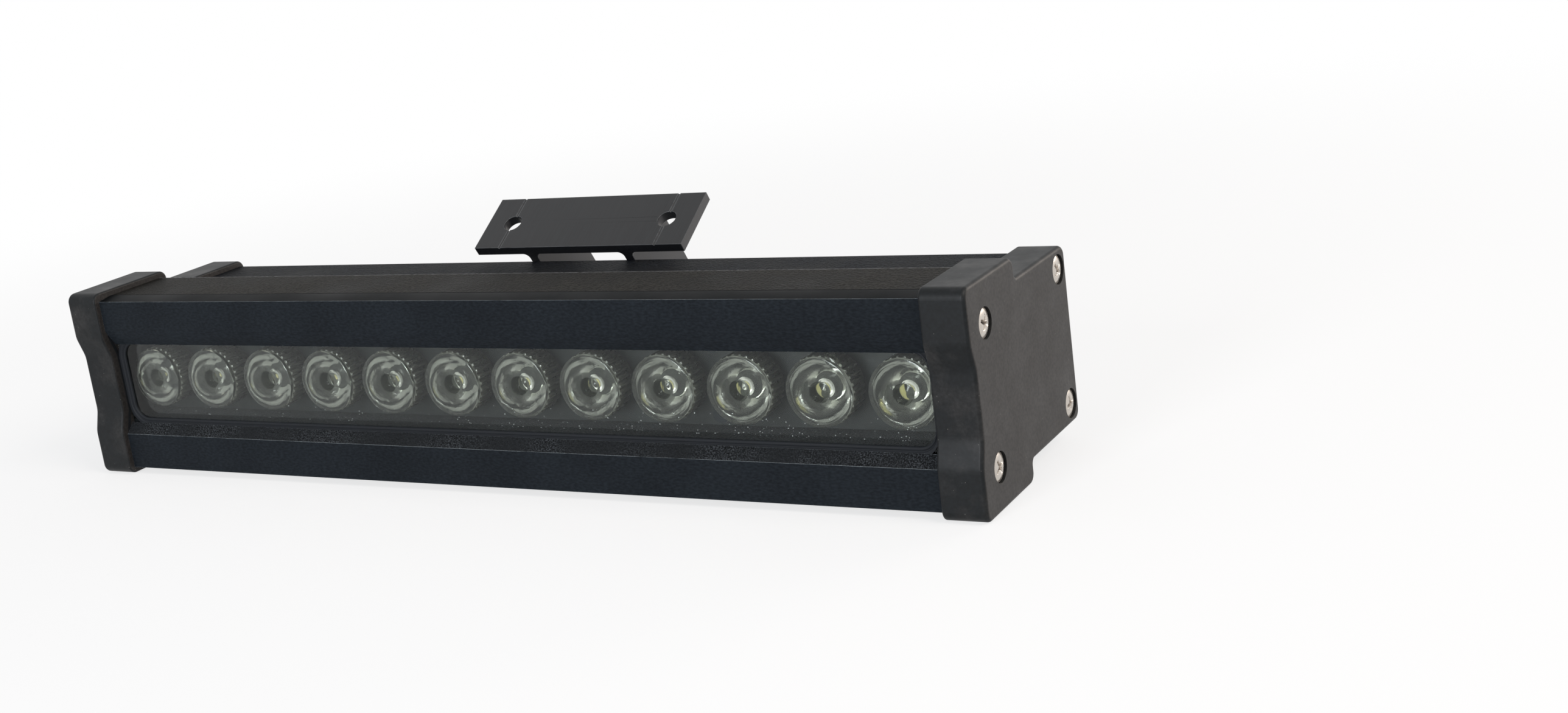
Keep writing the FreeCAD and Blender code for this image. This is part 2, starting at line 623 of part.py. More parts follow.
def build_glass():
    """Build the front glass, its black seal in front and its gasket behind."""
    half_length = f"({HALF_HOUSING} - glass_clearance)"
    glass = new_body("front_glass")
    sheet_face = new_sketch(glass, "XZ", f"-{GLASS_FRONT}")
    box(sheet_face, f"-{half_length}", half_length,
        f"{WINDOW} - {GLASS_HALF}", f"{WINDOW} + {GLASS_HALF}")
    pad(glass, sheet_face, "glass_thickness", reverse=True)

    seal = new_body("window_seal")
    seal_face = new_sketch(seal, "XZ", f"-{LIP_BACK}")
    box(seal_face, f"-{half_length}", half_length,
        f"{WINDOW} - {GLASS_HALF}", f"{WINDOW} + {GLASS_HALF}")
    opening = f"({HALF_HOUSING} - seal_border)"
    half = f"({CHAMBER_HALF} - seal_cover)"
    box(seal_face, f"-{opening}", opening, f"{WINDOW} - {half}", f"{WINDOW} + {half}")
    pad(seal, seal_face, "seal_thickness", reverse=True)
    reach = number(opening)
    soften(seal, "seal_corner_radius",
           lambda edge: direction(edge) == "Y" and abs(abs(edge.Vertexes[0].X) - reach) < MATCH)

    bed = new_body("glass_gasket")
    bed_face = new_sketch(bed, "XZ", f"-{GLASS_BACK}")
    box(bed_face, f"-{half_length}", half_length,
        f"{WINDOW} - {GLASS_HALF}", f"{WINDOW} + {GLASS_HALF}")
    inside = f"({half_length} - bed_thickness)"
    box(bed_face, f"-{inside}", inside, f"{WINDOW} - {CHAMBER_HALF}", f"{WINDOW} + {CHAMBER_HALF}")
    pad(bed, bed_face, "bed_thickness", reverse=True)


def lens_x(index):
    """Return the X of a lens, counted from the left."""
    return f"({index} - (lens_count - 1) / 2) * {LENS_PITCH}"


def build_lens(index):
    """Build one collimator lens: rim, tapered body, well in the face and hollow over the chip."""
    body = new_body(f"lens_{index + 1:02d}", lens_x(index), f"{HOUSING_Y} + {RIM_FRONT}",
                    f"{HOUSING_Z} + {WINDOW}")
    section = new_sketch(body, "XY")
    outline(section, [
        ("0", "lens_well_depth - lens_well_crown"),
        ("lens_well_radius / 2", "lens_well_depth - lens_well_crown * 3 / 4"),
        ("lens_well_radius", "lens_well_depth"),
        ("lens_well_radius", "lens_ring_depth"),
        ("lens_ring_radius", "lens_ring_depth"),
        ("lens_ring_radius", "0"),
        ("lens_radius", "0"),
        ("lens_radius", "lens_rim_thickness"),
        ("lens_shoulder_radius", "lens_rim_thickness"),
        ("lens_waist_radius", "lens_waist_depth"),
        ("lens_back_radius", "lens_length"),
        ("lens_cavity_radius", "lens_length"),
        ("lens_cavity_radius", "lens_length - lens_cavity_depth"),
        ("lens_cavity_radius / 2", "lens_length - lens_cavity_depth + lens_cavity_crown * 3 / 4"),
        ("0", "lens_length - lens_cavity_depth + lens_cavity_crown"),
    ])
    turn(body, section)


def build_holder(index):
    """Build one serrated holder: a cup round the lens with ribs, and a foot ring on the board."""
    body = new_body(f"lens_holder_{index + 1:02d}", lens_x(index), f"{HOUSING_Y} + {RIM_FRONT}",
                    f"{HOUSING_Z} + {WINDOW}")
    floor = "(lens_length + lens_stand)"
    top = "(lens_rim_thickness + holder_clearance)"
    inner_top = "(lens_shoulder_radius + holder_clearance)"
    inner_waist = "(lens_waist_radius + holder_clearance * 2)"
    inner_foot = "(lens_back_radius + holder_clearance * 3)"
    foot_top = f"({floor} - holder_foot_height)"
    section = new_sketch(body, "XY")
    outline(section, [
        (inner_top, top),
        (f"{inner_top} + holder_wall", top),
        (f"{inner_waist} + holder_wall", "lens_waist_depth"),
        ("holder_foot_radius - holder_wall", foot_top),
        ("holder_foot_radius", foot_top),
        ("holder_foot_radius", floor),
        (inner_foot, floor),
        (inner_foot, foot_top),
        (inner_waist, "lens_waist_depth"),
    ])
    turn(body, section)
    rib = new_sketch(body, "XY")
    outline(rib, [
        (f"{inner_top} + holder_wall / 2", top),
        (f"{inner_top} + holder_wall + holder_rib_rise", top),
        ("holder_foot_radius", f"{foot_top} + holder_foot_height / 2"),
        ("holder_foot_radius - holder_wall * 2", f"{foot_top} + holder_foot_height / 2"),
        (f"{inner_waist} + holder_wall / 2", "lens_waist_depth"),
    ])
    feature = pad(body, rib, "holder_rib_width", midplane=True)
    pattern = body.newObject("PartDesign::PolarPattern", f"{body.Label}_ribs")
    pattern.Originals = [feature]
    pattern.Axis = (rib, ["V_Axis"])
    pattern.setExpression("Occurrences", tied("holder_rib_count"))
    body.Tip = pattern
    doc.recompute()


def build_board():
    """Build the circuit board, its screws and the row of chips."""
    lenses = range(int(number("lens_count")))
    board = new_body("led_board")
    face = new_sketch(board, "XZ", f"-{BOARD_FRONT}")
    half = f"({CHAMBER_HALF} - board_gap)"
    reach = f"({HALF_HOUSING} - board_end_gap)"
    box(face, f"-{reach}", reach, f"{WINDOW} - {half}", f"{WINDOW} + {half}")
    for across, up in board_screw_places():
        circle(face, across, up, "small_screw_radius + screw_clearance")
    pad(board, face, "board_thickness", reverse=True)

    build_small_screws("board_screws", board_screw_places(), BOARD_FRONT, "board_screw_length", sign=1)

    chips = new_body("led_chips", pieces=len(lenses))
    bases = new_sketch(chips, "XZ", f"-{BOARD_FRONT}")
    domes = new_sketch(chips, "XZ", f"-({BOARD_FRONT} - chip_base_height)")
    width = "chip_width / 2"
    for index in lenses:
        x = lens_x(index)
        box(bases, f"{x} - {width}", f"{x} + {width}", f"{WINDOW} - {width}", f"{WINDOW} + {width}")
        circle(domes, x, WINDOW, "chip_dome_radius")
    pad(chips, bases, "chip_base_height")
    pad(chips, domes, "chip_dome_height")


def build_small_screws(label, places, face, length, sign):
    """Build a group of small screws seated on a face, pointing along Y (1) or against it (-1)."""
    body = new_body(label, pieces=len(places))
    heads = new_sketch(body, "XZ", f"-{face}")
    shanks = new_sketch(body, "XZ", f"-{face}")
    for across, up in places:
        circle(heads, across, up, "small_head_radius")
        circle(shanks, across, up, "small_screw_radius")
    pad(body, heads, "small_head_height", reverse=sign < 0)
    pad(body, shanks, length, reverse=sign > 0)


def build_driver():
    """Build the potted driver on the housing's ledges, with an ear and two screws at each end."""
    body = new_body("driver_module")
    low = f"{MIDDLE} - {DRIVER_HALF}"
    high = f"{MIDDLE} + {DRIVER_HALF}"
    case = new_sketch(body, "XZ", "-ledge_depth")
    box(case, "-driver_length / 2", "driver_length / 2", low, high)
    pad(body, case, DRIVER_DEPTH, reverse=True)
    soften(body, "driver_round", lambda edge: direction(edge) == "Y")
    ears = new_sketch(body, "XZ", "-ledge_depth")
    reach = "(driver_length / 2 + driver_ear_length)"
    box(ears, f"-{reach}", reach, low, high)
    pad(body, ears, "driver_ear_thickness", reverse=True)
    holes = new_sketch(body, "XZ", "-ledge_depth")
    for across, up in driver_screw_places():
        circle(holes, across, up, "small_screw_radius + screw_clearance")
    pocket(body, holes, "driver_ear_thickness")
    face = "(ledge_depth + driver_ear_thickness)"
    build_small_screws("driver_screws", driver_screw_places(), face, "driver_screw_length", sign=-1)


def gland_tube(body, start, length, outer, inner, reverse=True):
    """Pad a tube on the gland's axis from a distance outside the left cap's face."""
    ring = new_sketch(body, "YZ", f"-({HALF_HOUSING} + cap_thickness + {start})")
    circle(ring, GLAND_DEPTH, MIDDLE, outer)
    circle(ring, GLAND_DEPTH, MIDDLE, inner)
    return pad(body, ring, length, reverse=reverse)


def build_gland():
    """Build the cable gland on the left cap: threaded body, rubber seal and dome nut."""
    body = new_body("gland_body")
    hexagon = new_sketch(body, "YZ", f"-({HALF_HOUSING} + cap_thickness)")
    polygon(hexagon, GLAND_DEPTH, MIDDLE, "gland_hex")
    circle(hexagon, GLAND_DEPTH, MIDDLE, "gland_bore_radius")
    pad(body, hexagon, "gland_hex_height", reverse=True)
    gland_tube(body, "0", "gland_thread_length", "gland_thread_radius", "gland_bore_radius", reverse=False)
    gland_tube(body, "gland_hex_height", "gland_collar_length", "gland_collar_radius", "gland_bore_radius")

    seal = new_body("gland_seal")
    gland_tube(seal, "gland_hex_height", "gland_collar_length",
               "gland_bore_radius - gland_fit", "gland_seal_hole_radius")

    nut = new_body("gland_nut")
    cup = new_sketch(nut, "YZ", f"-({HALF_HOUSING} + cap_thickness + gland_hex_height)")
    circle(cup, GLAND_DEPTH, MIDDLE, "gland_dome_radius")
    pad(nut, cup, "gland_dome_length", reverse=True)
    end = f"-({HALF_HOUSING} + cap_thickness + gland_hex_height + gland_dome_length)"
    soften(nut, "gland_dome_round", edges_at_x(end))
    inside = new_sketch(nut, "YZ", f"-({HALF_HOUSING} + cap_thickness + gland_hex_height)")
    circle(inside, GLAND_DEPTH, MIDDLE, "gland_collar_radius + gland_fit")
    pocket(nut, inside, "gland_collar_length + gland_fit")
    mouth = new_sketch(nut, "YZ", f"-({HALF_HOUSING} + cap_thickness + gland_hex_height)")
    circle(mouth, GLAND_DEPTH, MIDDLE, "gland_mouth_radius")
    pocket(nut, mouth, "gland_dome_length")


def build_hinge_foot():
    """Build the foot on the housing's back: flange, web and barrel, with its four screws."""
    body = new_body("hinge_foot")
    flange = new_sketch(body, "XZ", f"-{HOUSING_BACK}")
    half = "foot_height / 2"
    box(flange, "-foot_length / 2", "foot_length / 2", f"{MIDDLE} - {half}", f"{MIDDLE} + {half}")
    pad(body, flange, "foot_thickness", reverse=True)
    soften(body, "foot_corner_radius", lambda edge: direction(edge) == "Y")
    web = new_sketch(body, "YZ")
    box(web, HOUSING_BACK, HINGE_DEPTH, f"{MIDDLE} - foot_barrel_radius", f"{MIDDLE} + foot_barrel_radius")
    pad(body, web, "foot_web_thickness", midplane=True)
    barrel = new_sketch(body, "YZ")
    circle(barrel, HINGE_DEPTH, MIDDLE, "foot_barrel_radius")
    length = f"({GAP_HALF} - friction_washer_thickness - friction_washer_gap) * 2"
    pad(body, barrel, length, midplane=True)
    bore = new_sketch(body, "YZ")
    circle(bore, HINGE_DEPTH, MIDDLE, "hinge_bolt_radius + hinge_bore_clearance")
    pocket(body, bore, length, midplane=True)
    holes = new_sketch(body, "XZ", f"-{FOOT_FRONT}")
    for across, up in foot_screw_places():
        circle(holes, across, up, "foot_screw_radius + screw_clearance")
    pocket(body, holes, "foot_thickness", reverse=True)

    screws = new_body("foot_screws", pieces=4)
    heads = new_sketch(screws, "XZ", f"-{FOOT_FRONT}")
    shanks = new_sketch(screws, "XZ", f"-{FOOT_FRONT}")
    sockets = new_sketch(screws, "XZ", f"-({FOOT_FRONT} + foot_head_height)")
    for across, up in foot_screw_places():
        circle(heads, across, up, "foot_head_radius")
        circle(shanks, across, up, "foot_screw_radius")
        polygon(sockets, across, up, "foot_socket_radius * 2 * cos(30)")
    pad(screws, heads, "foot_head_height", reverse=True)
    pad(screws, shanks, "foot_screw_length")
    pocket(screws, sockets, "foot_socket_depth", reverse=True)


def build_bracket():
    """Build the bracket in its own frame, mounting face up at zero, then tilt it about X."""
    body = new_body("bracket", y="0", z="0")
    outer = "leg_spacing / 2"
    end = "-(leg_reach + plate_depth / 2)"
    under = "-plate_thickness"
    profile = new_sketch(body, "XZ")
    outline(profile, [
        ("-plate_length / 2", "0"),
        ("-plate_length / 2", under),
        (f"-{outer}", under),
        (f"-{outer}", end),
        (f"-{GAP_HALF}", end),
        (f"-{GAP_HALF}", under),
        (GAP_HALF, under),
        (GAP_HALF, end),
        (outer, end),
        (outer, under),
        ("plate_length / 2", under),
        ("plate_length / 2", "0"),
    ])
    pad(body, profile, "plate_depth", midplane=True)
    root = number(under)
    reach = number(outer)
    soften(body, "leg_fillet", lambda edge: direction(edge) == "Y" and abs(edge.Vertexes[0].X) < reach + MATCH
           and abs(edge.Vertexes[0].Z - root) < MATCH)
    tip = number(end)
    soften(body, "plate_depth / 2 - groove_depth / 4",
           lambda edge: direction(edge) == "X" and abs(edge.Vertexes[0].Z - tip) < MATCH)
    pins = new_sketch(body, "YZ")
    circle(pins, "0", "-leg_reach", "hinge_bolt_radius + leg_hole_clearance")
    pocket(body, pins, "leg_spacing", midplane=True)
    holes = new_sketch(body, "XY")
    grooves = new_sketch(body, "XZ")
    for sign in "+-":
        centre = f"{sign} mount_spacing / 2"
        circle(holes, centre, "0", "mount_hole_radius")
        outline(grooves, [
            (f"{centre} - groove_width / 2", "0"),
            (centre, "-groove_depth"),
            (f"{centre} + groove_width / 2", "0"),
        ])
    pocket(body, holes, "plate_thickness")
    pocket(body, grooves, "plate_depth", midplane=True)
    body.Placement.Rotation = FreeCAD.Rotation(FreeCAD.Vector(1, 0, 0), number("bracket_tilt"))
    body.setExpression("Placement.Rotation.Angle", tied("bracket_tilt * 1deg"))


def new_hinge_body(label, pieces=1):
    """Start a sub-part whose own X axis is the hinge."""
    return new_body(label, y=HINGE_Y, z=HINGE_Z, pieces=pieces)


def build_hinge_bolt():
    """Build the hinge bolt with its button head on the right, its washers, spring washer and lock nut."""
    bolt = new_hinge_body("hinge_bolt")
    head = new_sketch(bolt, "YZ", BOLT_HEAD_SEAT)
    circle(head, "0", "0", "bolt_head_radius")
    pad(bolt, head, "bolt_head_height")
    top = f"({BOLT_HEAD_SEAT} + bolt_head_height)"
    soften(bolt, "bolt_head_round", edges_at_x(top))
    socket = new_sketch(bolt, "YZ", top)
    polygon(socket, "0", "0", "bolt_socket")
    pocket(bolt, socket, "bolt_socket_depth")
    shank = new_sketch(bolt, "YZ", BOLT_HEAD_SEAT)
    circle(shank, "0", "0", "hinge_bolt_radius")
    pad(bolt, shank, f"{BOLT_HEAD_SEAT} + {NUT_SEAT} + nut_height + hinge_bolt_end", reverse=True)

    hole = "hinge_bolt_radius + leg_hole_clearance"
    washers = new_hinge_body("hinge_washers", pieces=2)
    for sign in (-1, 1):
        ring = new_sketch(washers, "YZ", f"{sign} * leg_spacing / 2")
        circle(ring, "0", "0", "washer_radius")
        circle(ring, "0", "0", hole)
        pad(washers, ring, "washer_thickness", reverse=sign < 0)

    spring = new_hinge_body("spring_washer")
    ring = new_sketch(spring, "YZ", NUT_SEAT)
    circle(ring, "0", "0", "spring_washer_radius")
    circle(ring, "0", "0", hole)
    pad(spring, ring, "spring_washer_thickness")
    slit = new_sketch(spring, "YZ", BOLT_HEAD_SEAT)
    half = "spring_washer_slot / 2"
    box(slit, f"-{half}", half, "0", "spring_washer_radius * 2")
    pocket(spring, slit, "spring_washer_thickness")

    nut = new_hinge_body("lock_nut")
    flats = new_sketch(nut, "YZ", f"-{NUT_SEAT}")
    polygon(flats, "0", "0", "nut_flats")
    circle(flats, "0", "0", "hinge_bolt_radius + thread_clearance")
    pad(nut, flats, "nut_height", reverse=True)

    friction = new_hinge_body("friction_washers", pieces=2)
    for sign in (-1, 1):
        ring = new_sketch(friction, "YZ", f"{sign} * {GAP_HALF}")
        circle(ring, "0", "0", "friction_washer_radius")
        circle(ring, "0", "0", hole)
        pad(friction, ring, "friction_washer_thickness", reverse=sign > 0)


def check_and_write():
    """Stop at any failed object or unsound sub-part, then write each sub-part to its own file."""
    doc.recompute()
    for thing in doc.Objects:
        if "Invalid" in thing.State or "Error" in thing.State:
            raise ValueError(f"{thing.Name} failed: {thing.State}")
    for body, pieces in nodes:
        shape = body.Shape
        if shape.isNull() or not shape.isValid() or len(shape.Solids) != pieces:
            raise ValueError(f"{body.Label} is not {pieces} sound solids")
    os.makedirs("parts", exist_ok=True)
    for body, _ in nodes:
        body.Shape.exportStep(f"parts/{body.Label}.step")


build_housing()
for side, sign in SIDES.items():
    build_end_cap(side, sign)
    build_end_gasket(side, sign)
    build_cap_screws(side, sign)
build_glass()
for index in range(int(number("lens_count"))):
    build_lens(index)
    build_holder(index)
build_board()
build_driver()
build_gland()
build_hinge_foot()
build_bracket()
build_hinge_bolt()
check_and_write()
print(f"{len(nodes)} sub-parts written")
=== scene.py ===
"""Looks of an outdoor wall washer light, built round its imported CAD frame.

The light is a black painted aluminium housing with twelve clear lenses behind glass, two thick end caps,
a tilting bracket on the back and a cable gland on the left cap. Lengths are metres unless a name ends in
_mm. X runs along the light, Z is up and the light shines towards -Y.
"""

from __future__ import annotations

import logging
import math
import random
from collections.abc import Sequence
from dataclasses import dataclass, field
from enum import Enum

import bmesh
import bpy
from mathutils import Matrix, Vector

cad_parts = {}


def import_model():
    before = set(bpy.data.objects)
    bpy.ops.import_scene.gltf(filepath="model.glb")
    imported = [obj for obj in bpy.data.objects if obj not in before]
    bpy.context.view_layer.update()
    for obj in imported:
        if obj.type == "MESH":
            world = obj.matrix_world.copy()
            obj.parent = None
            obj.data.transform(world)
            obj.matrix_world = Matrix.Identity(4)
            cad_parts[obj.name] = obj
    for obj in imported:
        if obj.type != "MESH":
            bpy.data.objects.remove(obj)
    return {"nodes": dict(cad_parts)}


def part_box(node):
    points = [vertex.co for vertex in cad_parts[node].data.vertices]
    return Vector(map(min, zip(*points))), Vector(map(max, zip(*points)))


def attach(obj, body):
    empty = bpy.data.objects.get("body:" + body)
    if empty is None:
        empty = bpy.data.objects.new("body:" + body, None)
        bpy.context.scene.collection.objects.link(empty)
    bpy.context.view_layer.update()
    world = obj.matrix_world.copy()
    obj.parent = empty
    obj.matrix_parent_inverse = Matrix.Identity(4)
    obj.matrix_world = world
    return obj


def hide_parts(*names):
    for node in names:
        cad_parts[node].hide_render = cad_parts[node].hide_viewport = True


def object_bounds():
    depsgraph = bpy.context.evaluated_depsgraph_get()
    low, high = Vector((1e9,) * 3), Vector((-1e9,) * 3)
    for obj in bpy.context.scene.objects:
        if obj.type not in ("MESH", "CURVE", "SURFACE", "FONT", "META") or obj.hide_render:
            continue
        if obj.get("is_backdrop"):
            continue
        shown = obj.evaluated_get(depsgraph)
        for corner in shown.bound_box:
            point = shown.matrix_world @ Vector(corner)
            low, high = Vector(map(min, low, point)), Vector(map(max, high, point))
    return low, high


LOG = logging.getLogger("wall_washer")
MM = 0.001
IMAGE_WIDTH_PX = 2576
SENSOR_MM = 36.0
WELD_REACH = 2e-6
SHARP_DEG = 40.0

Tree = bpy.types.NodeTree
Socket = bpy.types.NodeSocket


class Body(Enum):
    """The two bodies of the CAD frame that a piece can ride on."""

    BRACKET = "bracket_fixed"
    LAMP = "lamp"


# --------------------------------------------------------------------------------------------------
# Helpers for colour, nodes and meshes
# --------------------------------------------------------------------------------------------------


def linear(colour: str) -> tuple[float, float, float, float]:
    """Turn an sRGB hex colour into the linear RGBA that shaders read.

    Args:
        colour: six hex digits after a hash, such as "#2b2f33".

    Returns:
        Linear red, green, blue and an alpha of 1.
    """
    parts = [int(colour[start:start + 2], 16) / 255 for start in (1, 3, 5)]
    red, green, blue = (
        part / 12.92 if part <= 0.04045 else ((part + 0.055) / 1.055) ** 2.4 for part in parts
    )
    return red, green, blue, 1.0


def add_node(tree: Tree, kind: str, inputs: dict | None = None, **settings: object) -> bpy.types.Node:
    """Add a shader node with its settings, values and links.

    Args:
        tree: the material's or world's node tree.
        kind: the node's type without its leading "ShaderNode".
        inputs: for each input, by name or index, a value or an output socket to link.
        settings: the node's own properties.

    Returns:
        The new node.
    """
    node = tree.nodes.new(f"ShaderNode{kind}")
    for name, value in settings.items():
        setattr(node, name, value)
    for key, value in (inputs or {}).items():
        if isinstance(value, Socket):
            tree.links.new(value, node.inputs[key])
        else:
            node.inputs[key].default_value = value
    return node


def cells_per_metre(size_mm: float) -> float:
    """Return the texture scale at which one cell or wave is size_mm wide."""
    return 1.0 / (size_mm * MM)


def empty_tree(block: bpy.types.Material | bpy.types.World) -> Tree:
    """Give a material or world an empty node tree.

    Args:
        block: the material or world.

    Returns:
        Its node tree.
    """
    block.use_nodes = True
    block.node_tree.nodes.clear()
    return block.node_tree


def object_point(tree: Tree) -> Socket:
    """Return the place on the object, in metres."""
    return add_node(tree, "TexCoord").outputs["Object"]


def sideways(tree: Tree) -> Socket:
    """Return how far a face looks along the light, from 0 to 1."""
    facing = add_node(tree, "SeparateXYZ", {0: add_node(tree, "TexCoord").outputs["Normal"]}).outputs["X"]
    return calculate(tree, "ABSOLUTE", facing)


def noise(tree: Tree, point: Socket, size_mm: float, detail: float, roughness: float = 0.5) -> Socket:
    """Return a cloudy pattern, mostly from 0.3 to 0.7, whose largest waves are size_mm wide."""
    inputs = {"Vector": point, "Scale": cells_per_metre(size_mm), "Detail": detail, "Roughness": roughness}
    return add_node(tree, "TexNoise", inputs).outputs["Fac"]


def stretched(tree: Tree, point: Socket, share: tuple[float, float, float]) -> Socket:
    """Return a place scaled along each axis, so that a pattern read there is drawn out."""
    return add_node(tree, "Mapping", {"Vector": point, "Scale": share}).outputs[0]


def calculate(tree: Tree, operation: str, *values: Socket | float, clamp: bool = False) -> Socket:
    """Return the result of a Math node on one or two numbers."""
    return add_node(tree, "Math", dict(enumerate(values)), operation=operation, use_clamp=clamp).outputs[0]


def remap(
    tree: Tree, value: Socket, low: float, high: float, to_low: float = 0.0, to_high: float = 1.0
) -> Socket:
    """Stretch the range from low to high over another range, and hold the number at its ends."""
    return add_node(tree, "MapRange", {0: value, 1: low, 2: high, 3: to_low, 4: to_high}).outputs[0]


def blend(
    tree: Tree, factor: Socket | float, first: Socket | str, second: Socket | str, mode: str = "MIX"
) -> Socket:
    """Return two colours mixed. Each is linked or sRGB hex, and the factor is the share of the second."""
    one, two = (linear(colour) if isinstance(colour, str) else colour for colour in (first, second))
    return add_node(tree, "Mix", {0: factor, 6: one, 7: two}, data_type="RGBA", blend_type=mode).outputs[2]


def between(tree: Tree, factor: Socket, first: Socket | float, second: Socket | float) -> Socket:
    """Return a number that goes from the first to the second as the factor goes from 0 to 1."""
    return add_node(tree, "Mix", {0: factor, 2: first, 3: second}, data_type="FLOAT").outputs[0]


def relief(tree: Tree, height: Socket, strength: float = 1.0) -> Socket:
    """Return the normal of a surface with a height in metres on it."""
    return add_node(tree, "Bump", {"Height": height, "Distance": 1.0, "Strength": strength}).outputs[0]


def satin(tree: Tree, colour: Socket, roughness: Socket, normal: Socket, shine: float) -> Socket:
    """Return the shader of a coat or a plastic, with shine as its specular level."""
    inputs = {"Base Color": colour, "Roughness": roughness, "Normal": normal, "Specular IOR Level": shine}
    return add_node(tree, "BsdfPrincipled", inputs).outputs[0]


def lamps_pass(tree: Tree, shader: Socket, tint: str) -> Socket:
    """Let the lamps through a clear shader, so that what lies behind it stays lit.

    Args:
        tree: the node tree.
        shader: the clear shader.
        tint: the sRGB hex colour that the passing light takes.

    Returns:
        The two shaders mixed.
    """
    through = add_node(tree, "BsdfTransparent", {"Color": linear(tint)}).outputs[0]
    shadow = add_node(tree, "LightPath").outputs["Is Shadow Ray"]
    return add_node(tree, "MixShader", {0: shadow, 1: shader, 2: through}).outputs[0]


def seen(tree: Tree) -> Socket:
    """Tell what is seen from the light that only falls on the object.

    Args:
        tree: the node tree.

    Returns:
        1 for what the camera sees straight, in a mirror or through glass, and 0 otherwise.
    """
    path = add_node(tree, "LightPath")
    straight = calculate(tree, "MAXIMUM", path.outputs["Is Camera Ray"], path.outputs["Is Glossy Ray"])
    return calculate(tree, "MAXIMUM", straight, path.outputs["Is Transmission Ray"])


def new_piece(name: str, mesh: bpy.types.Mesh, finish: Finish, body: Body) -> bpy.types.Object:
    """Make a dressed object from a mesh and let it ride on a CAD body.

    Args:
        name: the piece's name.
        mesh: its mesh, in the frame's coordinates.
        finish: the finish that it wears.
        body: the CAD body that carries it.

    Returns:
        The new object, linked to the scene.
    """
    piece = bpy.data.objects.new(name, mesh)
    bpy.context.scene.collection.objects.link(piece)
    if not mesh.materials:
        mesh.materials.append(finish.material())
    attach(piece, body.value)
    return piece


def mesh_from(builder: bmesh.types.BMesh, name: str, crease_deg: float = 35.0) -> bpy.types.Mesh:
    """Turn a finished bmesh into a mesh with smooth faces and sharp edges where it turns hard.

    Args:
        builder: the bmesh, freed afterwards.
        name: the mesh's name.
        crease_deg: edges that turn more than this stay sharp.

    Returns:
        The new mesh.
    """
    bmesh.ops.recalc_face_normals(builder, faces=builder.faces)
    limit = math.radians(crease_deg)
    for face in builder.faces:
        face.smooth = True
    for edge in builder.edges:
        edge.smooth = len(edge.link_faces) == 2 and edge.calc_face_angle(math.pi) < limit
    mesh = bpy.data.meshes.new(name)
    builder.to_mesh(mesh)
    builder.free()
    return mesh


def turned(profile: Sequence[tuple[float, float]], turns: int) -> bmesh.types.BMesh:
    """Turn a closed profile about the Y axis, as on a lathe.

    Args:
        profile: (radius, place along the axis) pairs in metres, in order; a radius of 0 lies on the axis.
        turns: how many steps the circle has.

    Returns:
        The turned solid, about the origin.
    """
    builder = bmesh.new()
    rings = []
    for radius, along in profile:
        ring = []
        for step in range(turns if radius > 0 else 1):
            angle = 2 * math.pi * step / turns
            ring.append(builder.verts.new((radius * math.cos(angle), along, radius * math.sin(angle))))
        rings.append(ring)
    for first, second in zip(rings, rings[1:] + rings[:1]):
        join_rings(builder, first, second)
    return builder


def join_rings(builder: bmesh.types.BMesh, first: list, second: list) -> None:
    """Fill the band between two rings of vertices, either of which may be a single point.

    Args:
        builder: the bmesh that holds them.
        first: one ring.
        second: the other ring, of the same length or of length 1.
    """
    count = max(len(first), len(second))
    if count == 1:
        return
    for step in range(count):
        after = (step + 1) % count
        corners = [first[step % len(first)], first[after % len(first)],
                   second[after % len(second)], second[step % len(second)]]
        unique = list(dict.fromkeys(corners))
        if len(unique) > 2:
            builder.faces.new(unique)


def rounded_rectangle(
    half_x: float, half_z: float, radius: float, steps: int
) -> list[tuple[tuple[float, float], tuple[float, float]]]:
    """Go once round a rectangle with round corners.

    Args:
        half_x: half its length.
        half_z: half its height.
        radius: its corners' radius.
        steps: how many steps a corner has.

    Returns:
        For each point its place and the outward direction there.
    """
    path = []
    for quarter, (side_x, side_z) in enumerate(((1, 1), (-1, 1), (-1, -1), (1, -1))):
        for step in range(steps + 1):
            angle = (quarter + step / steps) * math.pi / 2
            outward = (math.cos(angle), math.sin(angle))
            centre = (side_x * (half_x - radius), side_z * (half_z - radius))
            path.append(((centre[0] + outward[0] * radius, centre[1] + outward[1] * radius), outward))
    return path


def ease_edges(node: bpy.types.Object, radius_mm: float, edge_highlight: Finish) -> None:
    """Round a CAD node's sharp edges by modifiers, as paint and handling do.

    Args:
        node: the CAD node, whose mesh stays as it is.
        radius_mm: the width of the rounding.
        edge_highlight: the finish of the rounded strip itself, with its painted highlight.
    """
    weld = node.modifiers.new("join_faces", "WELD")
    weld.merge_threshold = WELD_REACH
    bevel = node.modifiers.new("eased_edges", "BEVEL")
    bevel.width = radius_mm * MM
    bevel.segments = 2
    bevel.limit_method = "ANGLE"
    bevel.angle_limit = math.radians(SHARP_DEG)
    bevel.use_clamp_overlap = True
    bevel.miter_outer = "MITER_ARC"
    node.data.materials.append(edge_highlight.material())
    bevel.material = len(node.data.materials) - 1
    normals = node.modifiers.new("flat_faces", "WEIGHTED_NORMAL")
    normals.keep_sharp = False


def dress(node: bpy.types.Object, finish: Finish) -> None:
    """Give a CAD node a finish in place of its packed material.

    Args:
        node: the CAD node's object.
        finish: the finish that it wears.
    """
    node.data.materials.clear()
    node.data.materials.append(finish.material())


# --------------------------------------------------------------------------------------------------
# Finishes
# --------------------------------------------------------------------------------------------------


